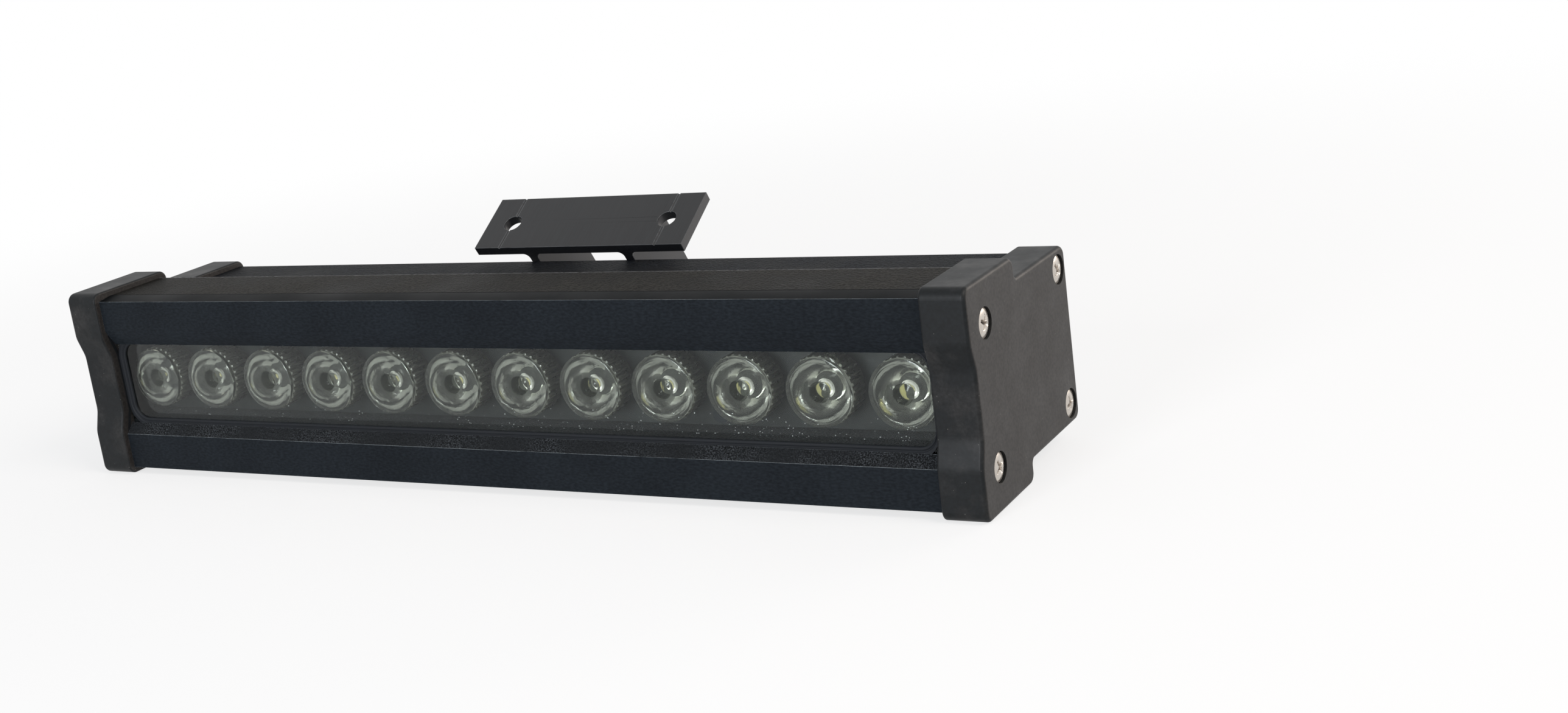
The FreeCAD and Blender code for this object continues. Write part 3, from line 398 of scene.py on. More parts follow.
@dataclass(frozen=True)
class Finish:
    """A surface finish. Its material is built once and then shared."""

    name: str

    def material(self) -> bpy.types.Material:
        """Return the finish's material, building it the first time.

        Returns:
            The material.
        """
        found = bpy.data.materials.get(self.name)
        if found:
            return found
        material = bpy.data.materials.new(self.name)
        tree = empty_tree(material)
        add_node(tree, "OutputMaterial", {"Surface": self.shade(tree)})
        return material

    def shade(self, tree: Tree) -> Socket:
        """Build the finish's nodes.

        Args:
            tree: the material's node tree.

        Returns:
            The shader's output socket.
        """
        raise NotImplementedError


@dataclass(frozen=True)
class PaintedAluminium(Finish):
    """Aluminium profile with a leather-textured black powder coat, sprayed and baked.

    The coat pulls into fine wrinkles on the faces that lay upwards in the oven, and stays calmer on the
    front, so the top is pebbled and the bezel is smooth. The top's warm brown against the bezel's blue-black
    is painted light, as are the darker back strip and slope and the lighter lip under the glass. Painted
    shade in the wrinkles and painted highlight on their crowns make the pattern show even in flat light.
    """

    name: str = "black_powder_coat_on_extruded_aluminium"
    front_colour: str = "#1a1e22"
    warm_lit_top_colour: str = "#151412"
    shaded_back_colour: str = "#0c0e11"
    shaded_slope_colour: str = "#06080a"
    lit_lip_colour: str = "#232527"
    highlight_colour: str = "#77787a"
    wrinkle_mm: float = 0.95
    grain_mm: float = 0.4
    wrinkle_rise_mm: float = 0.45
    front_rise_mm: float = 0.16
    bevel_y_mm: float = -69.0
    bevel_z_mm: float = -20.0
    step_y_mm: float = -45.0
    step_z_mm: float = -8.0
    sag_mm: float = 0.6
    sag_share: float = 0.45
    cloud_mm: float = 26.0
    roughness: tuple[float, float] = (0.44, 0.56)
    shine: float = 0.035

    def shade(self, tree: Tree) -> Socket:
        """Build the coat: the wrinkles and the painted light in its colour both follow the way that a face
        points.

        Args:
            tree: the material's node tree.

        Returns:
            The shader's output socket.
        """
        place = add_node(tree, "TexCoord")
        point = place.outputs["Object"]
        where = add_node(tree, "SeparateXYZ", {0: point})
        facing = add_node(tree, "SeparateXYZ", {0: place.outputs["Normal"]}).outputs["Z"]
        upward = remap(tree, facing, 0.35, 0.65)
        # The narrow slope along the front edge was burnished by the die, so it stays smooth.
        high = remap(tree, where.outputs["Z"], self.bevel_z_mm * MM, (self.bevel_z_mm + 1) * MM)
        before = remap(tree, where.outputs["Y"], (self.bevel_y_mm + 0.6) * MM, self.bevel_y_mm * MM)
        slope = calculate(tree, "MULTIPLY", calculate(tree, "MULTIPLY", high, before), upward)
        wrinkled = calculate(tree, "SUBTRACT", upward, slope)
        wrinkles = {"Vector": point, "Scale": cells_per_metre(self.wrinkle_mm), "Smoothness": 0.3}
        cells = add_node(tree, "TexVoronoi", wrinkles, feature="SMOOTH_F1").outputs["Distance"]
        grain = noise(tree, point, self.grain_mm, 3.0, roughness=0.6)
        clouds = noise(tree, point, self.cloud_mm, 4.0)
        leather = calculate(tree, "ADD", cells, grain)
        # Drawn-out waves, as the coat sags a little along the front.
        sag = noise(tree, stretched(tree, point, (self.sag_share, 1.0, 1.0)), self.sag_mm, 3.0)
        patches = remap(tree, clouds, 0.42, 0.6, 0.3, 1.0)
        top_height = calculate(tree, "MULTIPLY", leather, self.wrinkle_rise_mm * MM)
        front_height = calculate(tree, "MULTIPLY", sag, self.front_rise_mm * MM)
        front_height = calculate(tree, "MULTIPLY", front_height, patches)
        rough_part = remap(tree, slope, 0.0, 1.0, 1.0, 0.15)
        front_height = calculate(tree, "MULTIPLY", front_height, rough_part)
        bump = relief(tree, between(tree, wrinkled, front_height, top_height))
        # Painted light: the top is painted warm, the lip under the glass lighter and the lower back strip
        # darker.
        low_back = remap(tree, where.outputs["Z"], (self.step_z_mm - 1) * MM, self.step_z_mm * MM)
        tops = blend(tree, low_back, self.shaded_back_colour, self.warm_lit_top_colour)
        tops = blend(tree, high, self.lit_lip_colour, tops)
        # The slope is painted darker, as shade.
        sides = blend(tree, slope, self.front_colour, self.shaded_slope_colour)
        tone = blend(tree, wrinkled, sides, tops)
        # Painted shade lies in the wrinkles of the top and painted highlight on their crowns. On the front
        # the waves' crowns get only a little painted highlight.
        crowns = remap(tree, leather, 0.6, 1.2, 0.3, 2.9)
        # On the lip under the glass the painted glints and shade follow the fine grain, not the cells.
        speckle = remap(tree, grain, 0.46, 0.62, 0.35, 3.2)
        crowns = between(tree, high, speckle, crowns)
        wide = remap(tree, clouds, 0.44, 0.58, 0.15, 1.0)
        crowns = between(tree, wide, 1.0, crowns)
        waves = remap(tree, sag, 0.35, 0.66, 0.78, 1.28)
        pattern = between(tree, wrinkled, waves, crowns)
        shade = remap(tree, clouds, 0.3, 0.7, 0.85, 1.15)
        pattern = calculate(tree, "MULTIPLY", pattern, shade)
        colour = blend(tree, 1.0, tone, pattern, mode="MULTIPLY")
        # A thin, broken painted highlight runs along the rear edge of the tall block.
        across = where.outputs["Y"]
        near_edge = remap(tree, across, (self.step_y_mm - 2.0) * MM, (self.step_y_mm - 1.4) * MM)
        till_edge = remap(tree, across, (self.step_y_mm + 0.5) * MM, (self.step_y_mm + 0.2) * MM)
        edge_highlight = calculate(tree, "MULTIPLY", near_edge, till_edge)
        edge_highlight = calculate(tree, "MULTIPLY", edge_highlight, low_back)
        broken = remap(tree, sag, 0.4, 0.6, 0.1, 0.8)
        edge_highlight = calculate(tree, "MULTIPLY", edge_highlight, broken)
        colour = blend(tree, edge_highlight, colour, self.highlight_colour)
        roughness = remap(tree, clouds, 0.3, 0.7, *self.roughness)
        return satin(tree, colour, roughness, bump, self.shine)


@dataclass(frozen=True)
class NickedEdgeHighlight(Finish):
    """The powder coat over a sharp edge: smoother in streaks, nicked here and there, with a painted
    highlight.
    """

    name: str = "painted_highlight_on_powder_coat_edge"
    coat_colour: str = "#2c3236"
    highlight_colour: str = "#aeb8bc"
    nick_mm: float = 3.0
    nick_share: float = 0.3
    nick_rise_mm: float = 0.05
    shine: float = 0.5

    def shade(self, tree: Tree) -> Socket:
        """Build the strip: a painted highlight in streaks, dark at the nicks.

        Args:
            tree: the material's node tree.

        Returns:
            The shader's output socket.
        """
        point = object_point(tree)
        drawn = stretched(tree, point, (self.nick_share, 1.0, 1.0))
        streaks = noise(tree, drawn, self.nick_mm, 5.0, roughness=0.7)
        highlit = remap(tree, streaks, 0.34, 0.52)
        colour = blend(tree, highlit, self.coat_colour, self.highlight_colour)
        roughness = remap(tree, highlit, 0.0, 1.0, 0.5, 0.28)
        bump = relief(tree, calculate(tree, "MULTIPLY", streaks, self.nick_rise_mm * MM))
        return satin(tree, colour, roughness, bump, self.shine)


@dataclass(frozen=True)
class CoatedCasting(Finish):
    """Die-cast aluminium cap, satin black powder coat: even, with a soft orange peel and faint scuffs."""

    name: str = "satin_black_powder_coat_on_die_casting"
    colour: str = "#0c0f11"
    lit_side_colour: str = "#2b2928"
    scuff_colour: str = "#343231"
    dust_colour: str = "#7c7a76"
    peel_mm: float = 0.9
    peel_rise_mm: float = 0.006
    speck_mm: float = 1.6
    group_mm: float = 3.5
    cloud_mm: float = 14.0
    roughness: tuple[float, float] = (0.42, 0.52)
    shine: float = 0.2

    def shade(self, tree: Tree) -> Socket:
        """Build the coat, with cloudy scuffs, a few light specks of dust and painted light on the outer
        faces.

        Args:
            tree: the material's node tree.

        Returns:
            The shader's output socket.
        """
        point = object_point(tree)
        peel = noise(tree, point, self.peel_mm, 4.0)
        bump = relief(tree, calculate(tree, "MULTIPLY", peel, self.peel_rise_mm * MM))
        clouds = noise(tree, point, self.cloud_mm, 6.0, roughness=0.65)
        scuffs = remap(tree, clouds, 0.5, 0.75, 0.0, 0.55)
        # The outer faces are painted warm and grey, as lit from the side.
        outer = remap(tree, sideways(tree), 0.85, 0.98)
        plain = blend(tree, outer, self.colour, self.lit_side_colour)
        coat = blend(tree, scuffs, plain, self.scuff_colour)
        speckle = remap(tree, peel, 0.35, 0.65, 0.72, 1.3)
        coat = blend(tree, 1.0, coat, speckle, mode="MULTIPLY")
        specks = {"Vector": point, "Scale": cells_per_metre(self.speck_mm), "Randomness": 1.0}
        dots = add_node(tree, "TexVoronoi", specks).outputs["Distance"]
        near = remap(tree, dots, 0.07, 0.03, 0.0, 1.0)
        few = remap(tree, noise(tree, point, self.group_mm, 1.0), 0.53, 0.58)
        colour = blend(tree, calculate(tree, "MULTIPLY", near, few), coat, self.dust_colour)
        roughness = remap(tree, clouds, 0.35, 0.7, *reversed(self.roughness))
        return satin(tree, colour, roughness, bump, self.shine)


@dataclass(frozen=True)
class DrawnAnodised(Finish):
    """Extruded aluminium, lightly blasted and anodised black: satin, with fine die lines along the draw."""

    name: str = "black_anodised_extruded_aluminium"
    colour: str = "#131416"
    light_colour: str = "#202123"
    lit_end_colour: str = "#3a3a3c"
    line_mm: float = 0.5
    stretch: float = 0.03
    line_rise_mm: float = 0.004
    cloud_mm: float = 18.0
    tilt_deg: float = 31.5
    roughness: tuple[float, float] = (0.32, 0.46)
    shine: float = 0.35

    def shade(self, tree: Tree) -> Socket:
        """Build the anodised metal. The die lines run across the bracket's plate, along the draw.

        Args:
            tree: the material's node tree.

        Returns:
            The shader's output socket.
        """
        point = object_point(tree)
        turn = (-math.radians(self.tilt_deg), 0.0, 0.0)
        turned_back = add_node(tree, "Mapping", {"Vector": point, "Rotation": turn}).outputs[0]
        drawn = stretched(tree, turned_back, (1.0, self.stretch, 1.0))
        lines = noise(tree, drawn, self.line_mm, 4.0, roughness=0.6)
        clouds = noise(tree, point, self.cloud_mm, 4.0)
        amount = calculate(tree, "MULTIPLY", remap(tree, lines, 0.35, 0.7), clouds)
        colour = blend(tree, amount, self.colour, self.light_colour)
        # The sawn ends are painted greyer than the drawn faces, as lit from the side.
        colour = blend(tree, remap(tree, sideways(tree), 0.8, 0.95), colour, self.lit_end_colour)
        bump = relief(tree, calculate(tree, "MULTIPLY", lines, self.line_rise_mm * MM), 0.8)
        roughness = remap(tree, clouds, 0.3, 0.7, *self.roughness)
        return satin(tree, colour, roughness, bump, self.shine)


@dataclass(frozen=True)
class NickelSteel(Finish):
    """Steel screws, nickel plated and barrelled: bright and a little warm, with dirt and painted shade in
    each recess.
    """

    name: str = "nickel_plated_steel"
    colour: str = "#cfc8c0"
    dull_colour: str = "#b9b1a8"
    dirt_and_shade_colour: str = "#2f211c"
    mottle_mm: float = 1.2
    mottle_rise_mm: float = 0.02
    deep_mm: float = 0.0
    face_mm: float = 0.0

    def shade(self, tree: Tree) -> Socket:
        """Build the plating; where deep_mm is set, dirt and painted shade gather that far under the face at
        |X| = face_mm.

        Args:
            tree: the material's node tree.

        Returns:
            The shader's output socket.
        """
        point = object_point(tree)
        mottle = noise(tree, point, self.mottle_mm, 5.0, roughness=0.65)
        bump = relief(tree, calculate(tree, "MULTIPLY", mottle, self.mottle_rise_mm * MM), 0.6)
        colour = blend(tree, mottle, self.colour, self.dull_colour)
        metallic: Socket | float = 1.0
        roughness = remap(tree, mottle, 0.3, 0.7, 0.2, 0.36)
        if self.deep_mm:
            across = add_node(tree, "SeparateXYZ", {0: point}).outputs["X"]
            outward = calculate(tree, "ABSOLUTE", across)
            top = self.face_mm * MM
            depth = remap(tree, outward, top - 0.25 * self.deep_mm * MM, top - self.deep_mm * MM)
            ragged = remap(tree, mottle, 0.25, 0.5, 0.35, 1.0)
            dirt_and_shade = calculate(tree, "MULTIPLY", depth, ragged, clamp=True)
            colour = blend(tree, dirt_and_shade, colour, self.dirt_and_shade_colour)
            metallic = calculate(tree, "SUBTRACT", 1.0, dirt_and_shade)
            roughness = calculate(tree, "ADD", roughness, dirt_and_shade, clamp=True)
        inputs = {"Base Color": colour, "Metallic": metallic, "Roughness": roughness, "Normal": bump}
        return add_node(tree, "BsdfPrincipled", inputs).outputs[0]


@dataclass(frozen=True)
class BlackOxideSteel(Finish):
    """Small steel screws, blackened in a hot bath: dull, with a bluish cast."""

    name: str = "black_oxide_steel"
    colour: str = "#2a2c30"
    mottle_mm: float = 0.8
    metallic: float = 0.8

    def shade(self, tree: Tree) -> Socket:
        """Build the blackened metal with a mottled roughness.

        Args:
            tree: the material's node tree.

        Returns:
            The shader's output socket.
        """
        mottle = noise(tree, object_point(tree), self.mottle_mm, 4.0)
        roughness = remap(tree, mottle, 0.3, 0.7, 0.35, 0.55)
        inputs = {"Base Color": linear(self.colour), "Metallic": self.metallic, "Roughness": roughness}
        return add_node(tree, "BsdfPrincipled", inputs).outputs[0]


@dataclass(frozen=True)
class TemperedGlass(Finish):
    """Float glass, cut, ground and tempered: clear, faintly green, and it mirrors the pale floor."""

    name: str = "clear_tempered_glass"
    tint: str = "#f3f7f4"
    mirror: str = "#b8bcbe"
    index: float = 1.45
    cloud_mm: float = 12.0

    def shade(self, tree: Tree) -> Socket:
        """Build clear glass with a breath of haze in its roughness, see-through to the lamps.

        Args:
            tree: the material's node tree.

        Returns:
            The shader's output socket.
        """
        clouds = noise(tree, object_point(tree), self.cloud_mm, 3.0)
        haze = remap(tree, clouds, 0.45, 0.75, 0.0, 0.02)
        inputs = {"Base Color": linear(self.tint), "Roughness": haze, "IOR": self.index,
                  "Transmission Weight": 1.0, "Specular Tint": linear(self.mirror)}
        return lamps_pass(tree, add_node(tree, "BsdfPrincipled", inputs).outputs[0], self.tint)


@dataclass(frozen=True)
class ClearMoulding(Finish):
    """Injection-moulded clear plastic. It bends light as the real lens does, and lets the lamps through.

    The mould's tool marks break up what its curved walls reflect, and its rim is left frosted. Where it is
    set, a grey tint outside the middle is painted shade that dims those reflections.
    """

    name: str = "clear_moulded_acrylic"
    tint: str = "#e9eae2"
    outer_shade_tint: str = "#e9eae2"
    lamp_tint: str = "#e4e5dc"
    index: float = 1.49
    roughness: float = 0.04
    rim_roughness: float = 0.05
    clear_mm: float = 4.0
    fade_mm: float = 1.6
    rim_mm: float = 8.7
    ripple_mm: float = 1.6
    ripple_rise_mm: float = 0.0

    def shade(self, tree: Tree) -> Socket:
        """Build the clear plastic, see-through to the lamps so that what lies behind it stays lit.

        Args:
            tree: the material's node tree.

        Returns:
            The shader's output socket.
        """
        point = object_point(tree)
        swirl = {"Vector": point, "Scale": cells_per_metre(self.ripple_mm), "Detail": 2.0, "Distortion": 1.0}
        ripples = add_node(tree, "TexNoise", swirl).outputs["Fac"]
        bump = relief(tree, calculate(tree, "MULTIPLY", ripples, self.ripple_rise_mm * MM))
        across = add_node(tree, "VectorMath", {0: point, 1: (1.0, 0.0, 1.0)}, operation="MULTIPLY").outputs[0]
        radius = add_node(tree, "VectorMath", {0: across}, operation="LENGTH").outputs["Value"]
        edge = self.rim_mm * MM
        roughness = remap(tree, radius, edge, edge + 0.2 * MM, self.roughness, self.rim_roughness)
        # Outside the middle the lens takes a grey tint, painted shade that dims what its walls reflect.
        outer = remap(tree, radius, self.clear_mm * MM, (self.clear_mm + self.fade_mm) * MM)
        inputs = {"Base Color": blend(tree, outer, self.tint, self.outer_shade_tint), "Roughness": roughness,
                  "IOR": self.index, "Transmission Weight": 1.0, "Normal": bump}
        return lamps_pass(tree, add_node(tree, "BsdfPrincipled", inputs).outputs[0], self.lamp_tint)


@dataclass(frozen=True)
class FrostedMoulding(Finish):
    """Natural moulded plastic of the lens holders: cloudy, grey-brown, partly see-through."""

    name: str = "frosted_moulded_polycarbonate"
    colour: str = "#5a5952"
    clear_tint: str = "#c9c8c0"
    share: float = 0.7
    index: float = 1.58
    shine: float = 0.6
    cloud_mm: float = 3.0

    def shade(self, tree: Tree) -> Socket:
        """Build the cloudy plastic from a see-through and a scattering part.

        Args:
            tree: the material's node tree.

        Returns:
            The shader's output socket.
        """
        clouds = noise(tree, object_point(tree), self.cloud_mm, 3.0)
        roughness = remap(tree, clouds, 0.3, 0.7, 0.22, 0.4)
        inputs = {"Base Color": linear(self.colour), "Roughness": roughness, "IOR": self.index,
                  "Specular IOR Level": self.shine}
        solid = add_node(tree, "BsdfPrincipled", inputs).outputs[0]
        clear = add_node(tree, "BsdfTransparent", {"Color": linear(self.clear_tint)}).outputs[0]
        return add_node(tree, "MixShader", {0: self.share, 1: clear, 2: solid}).outputs[0]


@dataclass(frozen=True)
class PlainPlastic(Finish):
    """A moulded or cast dull material: fine grain in its surface and a slightly uneven tone."""

    name: str = "moulded_black_nylon"
    colour: str = "#1d1e20"
    light_colour: str = "#26272a"
    grain_mm: float = 0.4
    rise_mm: float = 0.01
    cloud_mm: float = 9.0
    roughness: tuple[float, float] = (0.45, 0.6)
    shine: float = 0.35

    def shade(self, tree: Tree) -> Socket:
        """Build the dull material from one grain pattern and one slow cloud.

        Args:
            tree: the material's node tree.

        Returns:
            The shader's output socket.
        """
        point = object_point(tree)
        grain = noise(tree, point, self.grain_mm, 3.0)
        clouds = noise(tree, point, self.cloud_mm, 4.0)
        bump = relief(tree, calculate(tree, "MULTIPLY", grain, self.rise_mm * MM))
        colour = blend(tree, clouds, self.colour, self.light_colour)
        roughness = remap(tree, clouds, 0.3, 0.7, *self.roughness)
        return satin(tree, colour, roughness, bump, self.shine)


PAINT = PaintedAluminium()
# The eased edges of the housing and the bracket carry a painted highlight, broken by nicks.
EDGE = NickedEdgeHighlight()
BRACKET_EDGE = NickedEdgeHighlight(
    name="painted_highlight_on_anodised_edge", coat_colour="#17181a", highlight_colour="#3c3e40", nick_mm=1.2
)
CAP_COAT = CoatedCasting()
ANODISED = DrawnAnodised()
NICKEL = NickelSteel()
BLACK_STEEL = BlackOxideSteel()
GLASS = TemperedGlass()
LENS_PLASTIC = ClearMoulding(outer_shade_tint="#8e9089", rim_roughness=0.1, ripple_rise_mm=0.035)
HOLDER_PLASTIC = FrostedMoulding()
# Injection-moulded in a lightly eroded tool: matt black, so it stays quiet beside the metal.
NYLON = PlainPlastic()
# Pressed and cured rubber, dusted with talc: deep black, nearly without shine.
SILICONE = PlainPlastic(
    name="black_silicone_rubber", colour="#15171a", light_colour="#1f2226", grain_mm=0.7, rise_mm=0.02,
    roughness=(0.5, 0.65), shine=0.15,
)
# Squeezed out wet and cured in drops: small, pale and glossy.
SPECK = PlainPlastic(
    name="dried_clear_silicone", colour="#8d9090", light_colour="#a9acac", grain_mm=0.2, rise_mm=0.01,
    roughness=(0.15, 0.3), shine=0.5,
)
# Printed and baked lacquer on glass fibre: an even satin black behind the lenses.
SOLDER_MASK = PlainPlastic(
    name="black_solder_mask_on_board", colour="#121415", light_colour="#1a1c1d", grain_mm=0.5, rise_mm=0.004,
    roughness=(0.35, 0.45), shine=0.45,
)
# Poured resin in a moulded case: plain grey.
POTTED_CASE = PlainPlastic(
    name="grey_potted_case", colour="#4b4c4e", light_colour="#55565a", grain_mm=0.6, rise_mm=0.01,
)
# Phosphor powder stirred into clear silicone: a soft yellow without grain.
PHOSPHOR = PlainPlastic(
    name="phosphor_in_silicone", colour="#a89d6c", light_colour="#b8ae84", grain_mm=0.3, rise_mm=0.005,
    roughness=(0.4, 0.5),
)
# Brushed on and cured in dabs: clear, amber and smooth.
AMBER_GLUE = ClearMoulding(name="cured_amber_glue", tint="#c98a2c", index=1.5, roughness=0.12)


# --------------------------------------------------------------------------------------------------
# Sub-assemblies
# --------------------------------------------------------------------------------------------------


@dataclass
class Frame:
    """The loaded CAD frame, with quick access to its nodes."""

    nodes: dict[str, bpy.types.Object]

    def node(self, name: str) -> bpy.types.Object:
        """Return a CAD node's object."""
        return self.nodes[name]

    def named(self, start: str) -> list[str]:
        """Return the names of the nodes that begin with a word, in order."""
        return sorted(name for name in self.nodes if name.startswith(start))

    def set_in_place(self, mesh: bpy.types.Mesh, names: list[str], old: str, new: str, slot: str) -> None:
        """Set a piece that is drawn from its front's middle over each of some CAD nodes.

        Args:
            mesh: the piece's mesh, which they share.
            names: the CAD nodes.
            old: how those names begin.
            new: how the pieces' names begin instead.
            slot: not used.
        """
        for name in names:
            low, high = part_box(name)
            piece = bpy.data.objects.new(name.replace(old, new), mesh)
            bpy.context.scene.collection.objects.link(piece)
            piece.location = ((low.x + high.x) / 2, low.y, (low.z + high.z) / 2)
            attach(piece, Body.LAMP.value)
            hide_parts(name)


@dataclass
class Housing:
    """The extruded housing and the two gaskets at its ends."""

    frame: Frame
    edge_mm: float = 0.42

    def dress(self) -> None:
        """Paint the extrusion, ease its edges and blacken the gaskets."""
        extrusion = self.frame.node("housing_extrusion")
        dress(extrusion, PAINT)
        ease_edges(extrusion, self.edge_mm, edge_highlight=EDGE)
        for side in ("left", "right"):
            dress(self.frame.node(f"end_gasket_{side}"), SILICONE)
        LOG.info("housing painted")


@dataclass
class EndCaps:
    """The two thick end caps."""

    frame: Frame

    def dress(self) -> None:
        """Coat both caps."""
        for side in ("left", "right"):
            dress(self.frame.node(f"end_cap_{side}"), CAP_COAT)
        LOG.info("end caps coated")


@dataclass
class FrontWindow:
    """The front glass with its black seal and the gasket behind it."""

    frame: Frame
    seal_mm: float = 0.7
    seal_width_mm: float = 2.9
    right_share: float = 0.4
    corner_mm: float = 5.0
    corner_steps: int = 8

    def dress(self) -> None:
        """Make the glass clear and the seals black."""
        dress(self.frame.node("front_glass"), GLASS)
        dress(self.frame.node("glass_gasket"), SILICONE)
        self.lay_seal()
        LOG.info("window glazed")

    def section(self) -> list[tuple[float, float]]:
        """Draw the seal's closed section, with two soft beads.

        Returns:
            (outward, forward) pairs in millimetres.
        """
        thick, valley = self.seal_mm, self.seal_mm * 0.8
        front = [(0.0, 0.0), (0.05, thick * 0.7), (0.3, thick * 0.96), (0.6, thick), (0.9, thick * 0.96)]
        front += [(1.15, thick * 0.7), (1.25, valley), (1.45, valley), (1.55, thick * 0.7)]
        front += [(1.8, thick * 0.96), (2.2, thick), (self.seal_width_mm, thick), (self.seal_width_mm, 0.0)]
        return front

    def lay_seal(self) -> None:
        """Sweep the beaded seal round the window, over the CAD seal."""
        low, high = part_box("window_seal")
        builder = bmesh.new()
        inner_x = (high.x - low.x) / 2 - self.seal_width_mm * MM
        inner_z = (high.z - low.z) / 2 - (self.seal_width_mm + 0.1) * MM
        path = rounded_rectangle(inner_x, inner_z, self.corner_mm * MM, self.corner_steps)
        rings = []
        for outward_mm, forward_mm in self.section():
            ring = []
            for (x, z), (out_x, out_z) in path:
                reach = outward_mm * MM
                share = self.right_share if x > 0 else 1.0
                along = x + (1 - share) * self.seal_width_mm * MM * (x > 0) + out_x * reach * share
                place = (along, high.y - forward_mm * MM, (low.z + high.z) / 2 + z + out_z * reach)
                ring.append(builder.verts.new(place))
            rings.append(ring)
        for first, second in zip(rings, rings[1:] + rings[:1]):
            join_rings(builder, first, second)
        piece = new_piece("beaded_window_seal", mesh_from(builder, "beaded_window_seal", 50.0), SILICONE,
                          Body.LAMP)
        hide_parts("window_seal")


@dataclass
class DriedSilicone:
    """Specks of silicone left on the inner face of the glass, mostly along its lower edge."""

    frame: Frame
    count: int = 260
    band_mm: float = 6.5
    sizes_mm: tuple[float, float] = (0.05, 0.17)

    def build(self) -> None:
        """Scatter the specks, denser towards the right end and the lower edge."""
        low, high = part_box("glass_gasket")
        scatter = random.Random(23)
        builder = bmesh.new()
        for _ in range(self.count):
            share = scatter.random() ** 0.6
            x = low.x + 0.006 + (high.x - low.x - 0.012) * share
            z = low.z + 0.0035 + self.band_mm * MM * scatter.random() ** 1.8
            size = scatter.uniform(*self.sizes_mm) * MM
            made = bmesh.ops.create_icosphere(builder, subdivisions=1, radius=size)["verts"]
            stretch = Vector((scatter.uniform(0.8, 1.8), 0.45, scatter.uniform(0.8, 1.2)))
            for vert in made:
                flat = Vector(a * b for a, b in zip(vert.co, stretch))
                vert.co = flat + Vector((x, low.y + size * 0.4, z))
        mesh = mesh_from(builder, "dried_silicone", 80.0)
        new_piece("dried_silicone", mesh, SPECK, Body.LAMP)
        LOG.info("silicone specks built")


@dataclass
class LensRow:
    """Twelve collimator lenses; their serrated holders are built by HolderRow."""

    frame: Frame
    turns: int = 64
    rim_mm: float = 10.0
    rim_thickness_mm: float = 1.2
    ring_mm: float = 8.6
    ring_depth_mm: float = 0.4
    shoulder_mm: float = 9.2
    back_mm: float = 4.2
    length_mm: float = 11.0
    bulge: float = 1.8
    well_mm: float = 2.9
    well_foot_mm: float = 2.5
    well_depth_mm: float = 3.6
    well_crown_mm: float = 0.95
    cavity_mm: float = 3.0
    cavity_depth_mm: float = 3.6
    cavity_crown_mm: float = 1.7
    edge_mm: float = 0.15

    def profile(self) -> list[tuple[float, float]]:
        """Draw the lens's half section, from the axis and back to it.

        Returns:
            (radius, depth) pairs in metres.
        """
        edge = self.edge_mm
        points = [
            (share * self.well_foot_mm, self.well_depth_mm - self.well_crown_mm * (1 - share ** 1.4))
            for share in (0.0, 0.1, 0.2, 0.35, 0.5, 0.65, 0.8, 0.9, 1.0)
        ]
        points += [
            (self.well_mm, self.ring_depth_mm + edge),
            (self.well_mm + edge, self.ring_depth_mm),
            (self.ring_mm - edge, self.ring_depth_mm),
            (self.ring_mm, self.ring_depth_mm - edge),
            (self.ring_mm, edge),
            (self.ring_mm + edge, 0.0),
            (self.rim_mm - edge * 2, 0.0),
            (self.rim_mm - edge * 0.6, edge * 0.6),
            (self.rim_mm, edge * 2),
            (self.rim_mm, self.rim_thickness_mm),
        ]
        steps = 12
        for step in range(steps + 1):
            share = step / steps
            radius = self.shoulder_mm - (self.shoulder_mm - self.back_mm) * share ** self.bulge
            points.append((radius, self.rim_thickness_mm + (self.length_mm - self.rim_thickness_mm) * share))
        ceiling = self.length_mm - self.cavity_depth_mm
        points.append((self.cavity_mm, self.length_mm))
        points += [
            (share * (self.cavity_mm - 0.2), ceiling + self.cavity_crown_mm * (1 - share ** 2))
            for share in (1.0, 0.75, 0.5, 0.25, 0.0)
        ]
        return [(radius * MM, depth * MM) for radius, depth in points]

    def build(self) -> None:
        """Turn one lens and set it in place twelve times, over the CAD lenses."""
        profile = self.profile()
        # The two ends of the profile lie on the axis and aren't joined, so the solid is closed there.
        builder = turned(profile, self.turns)
        mesh = mesh_from(builder, "collimator_lens", crease_deg=28.0)
        mesh.materials.append(LENS_PLASTIC.material())
        names = self.frame.named("lens_0") + self.frame.named("lens_1")
        self.frame.set_in_place(mesh, names, "lens_", "collimator_", "clear_lens")
        LOG.info("lens row built")


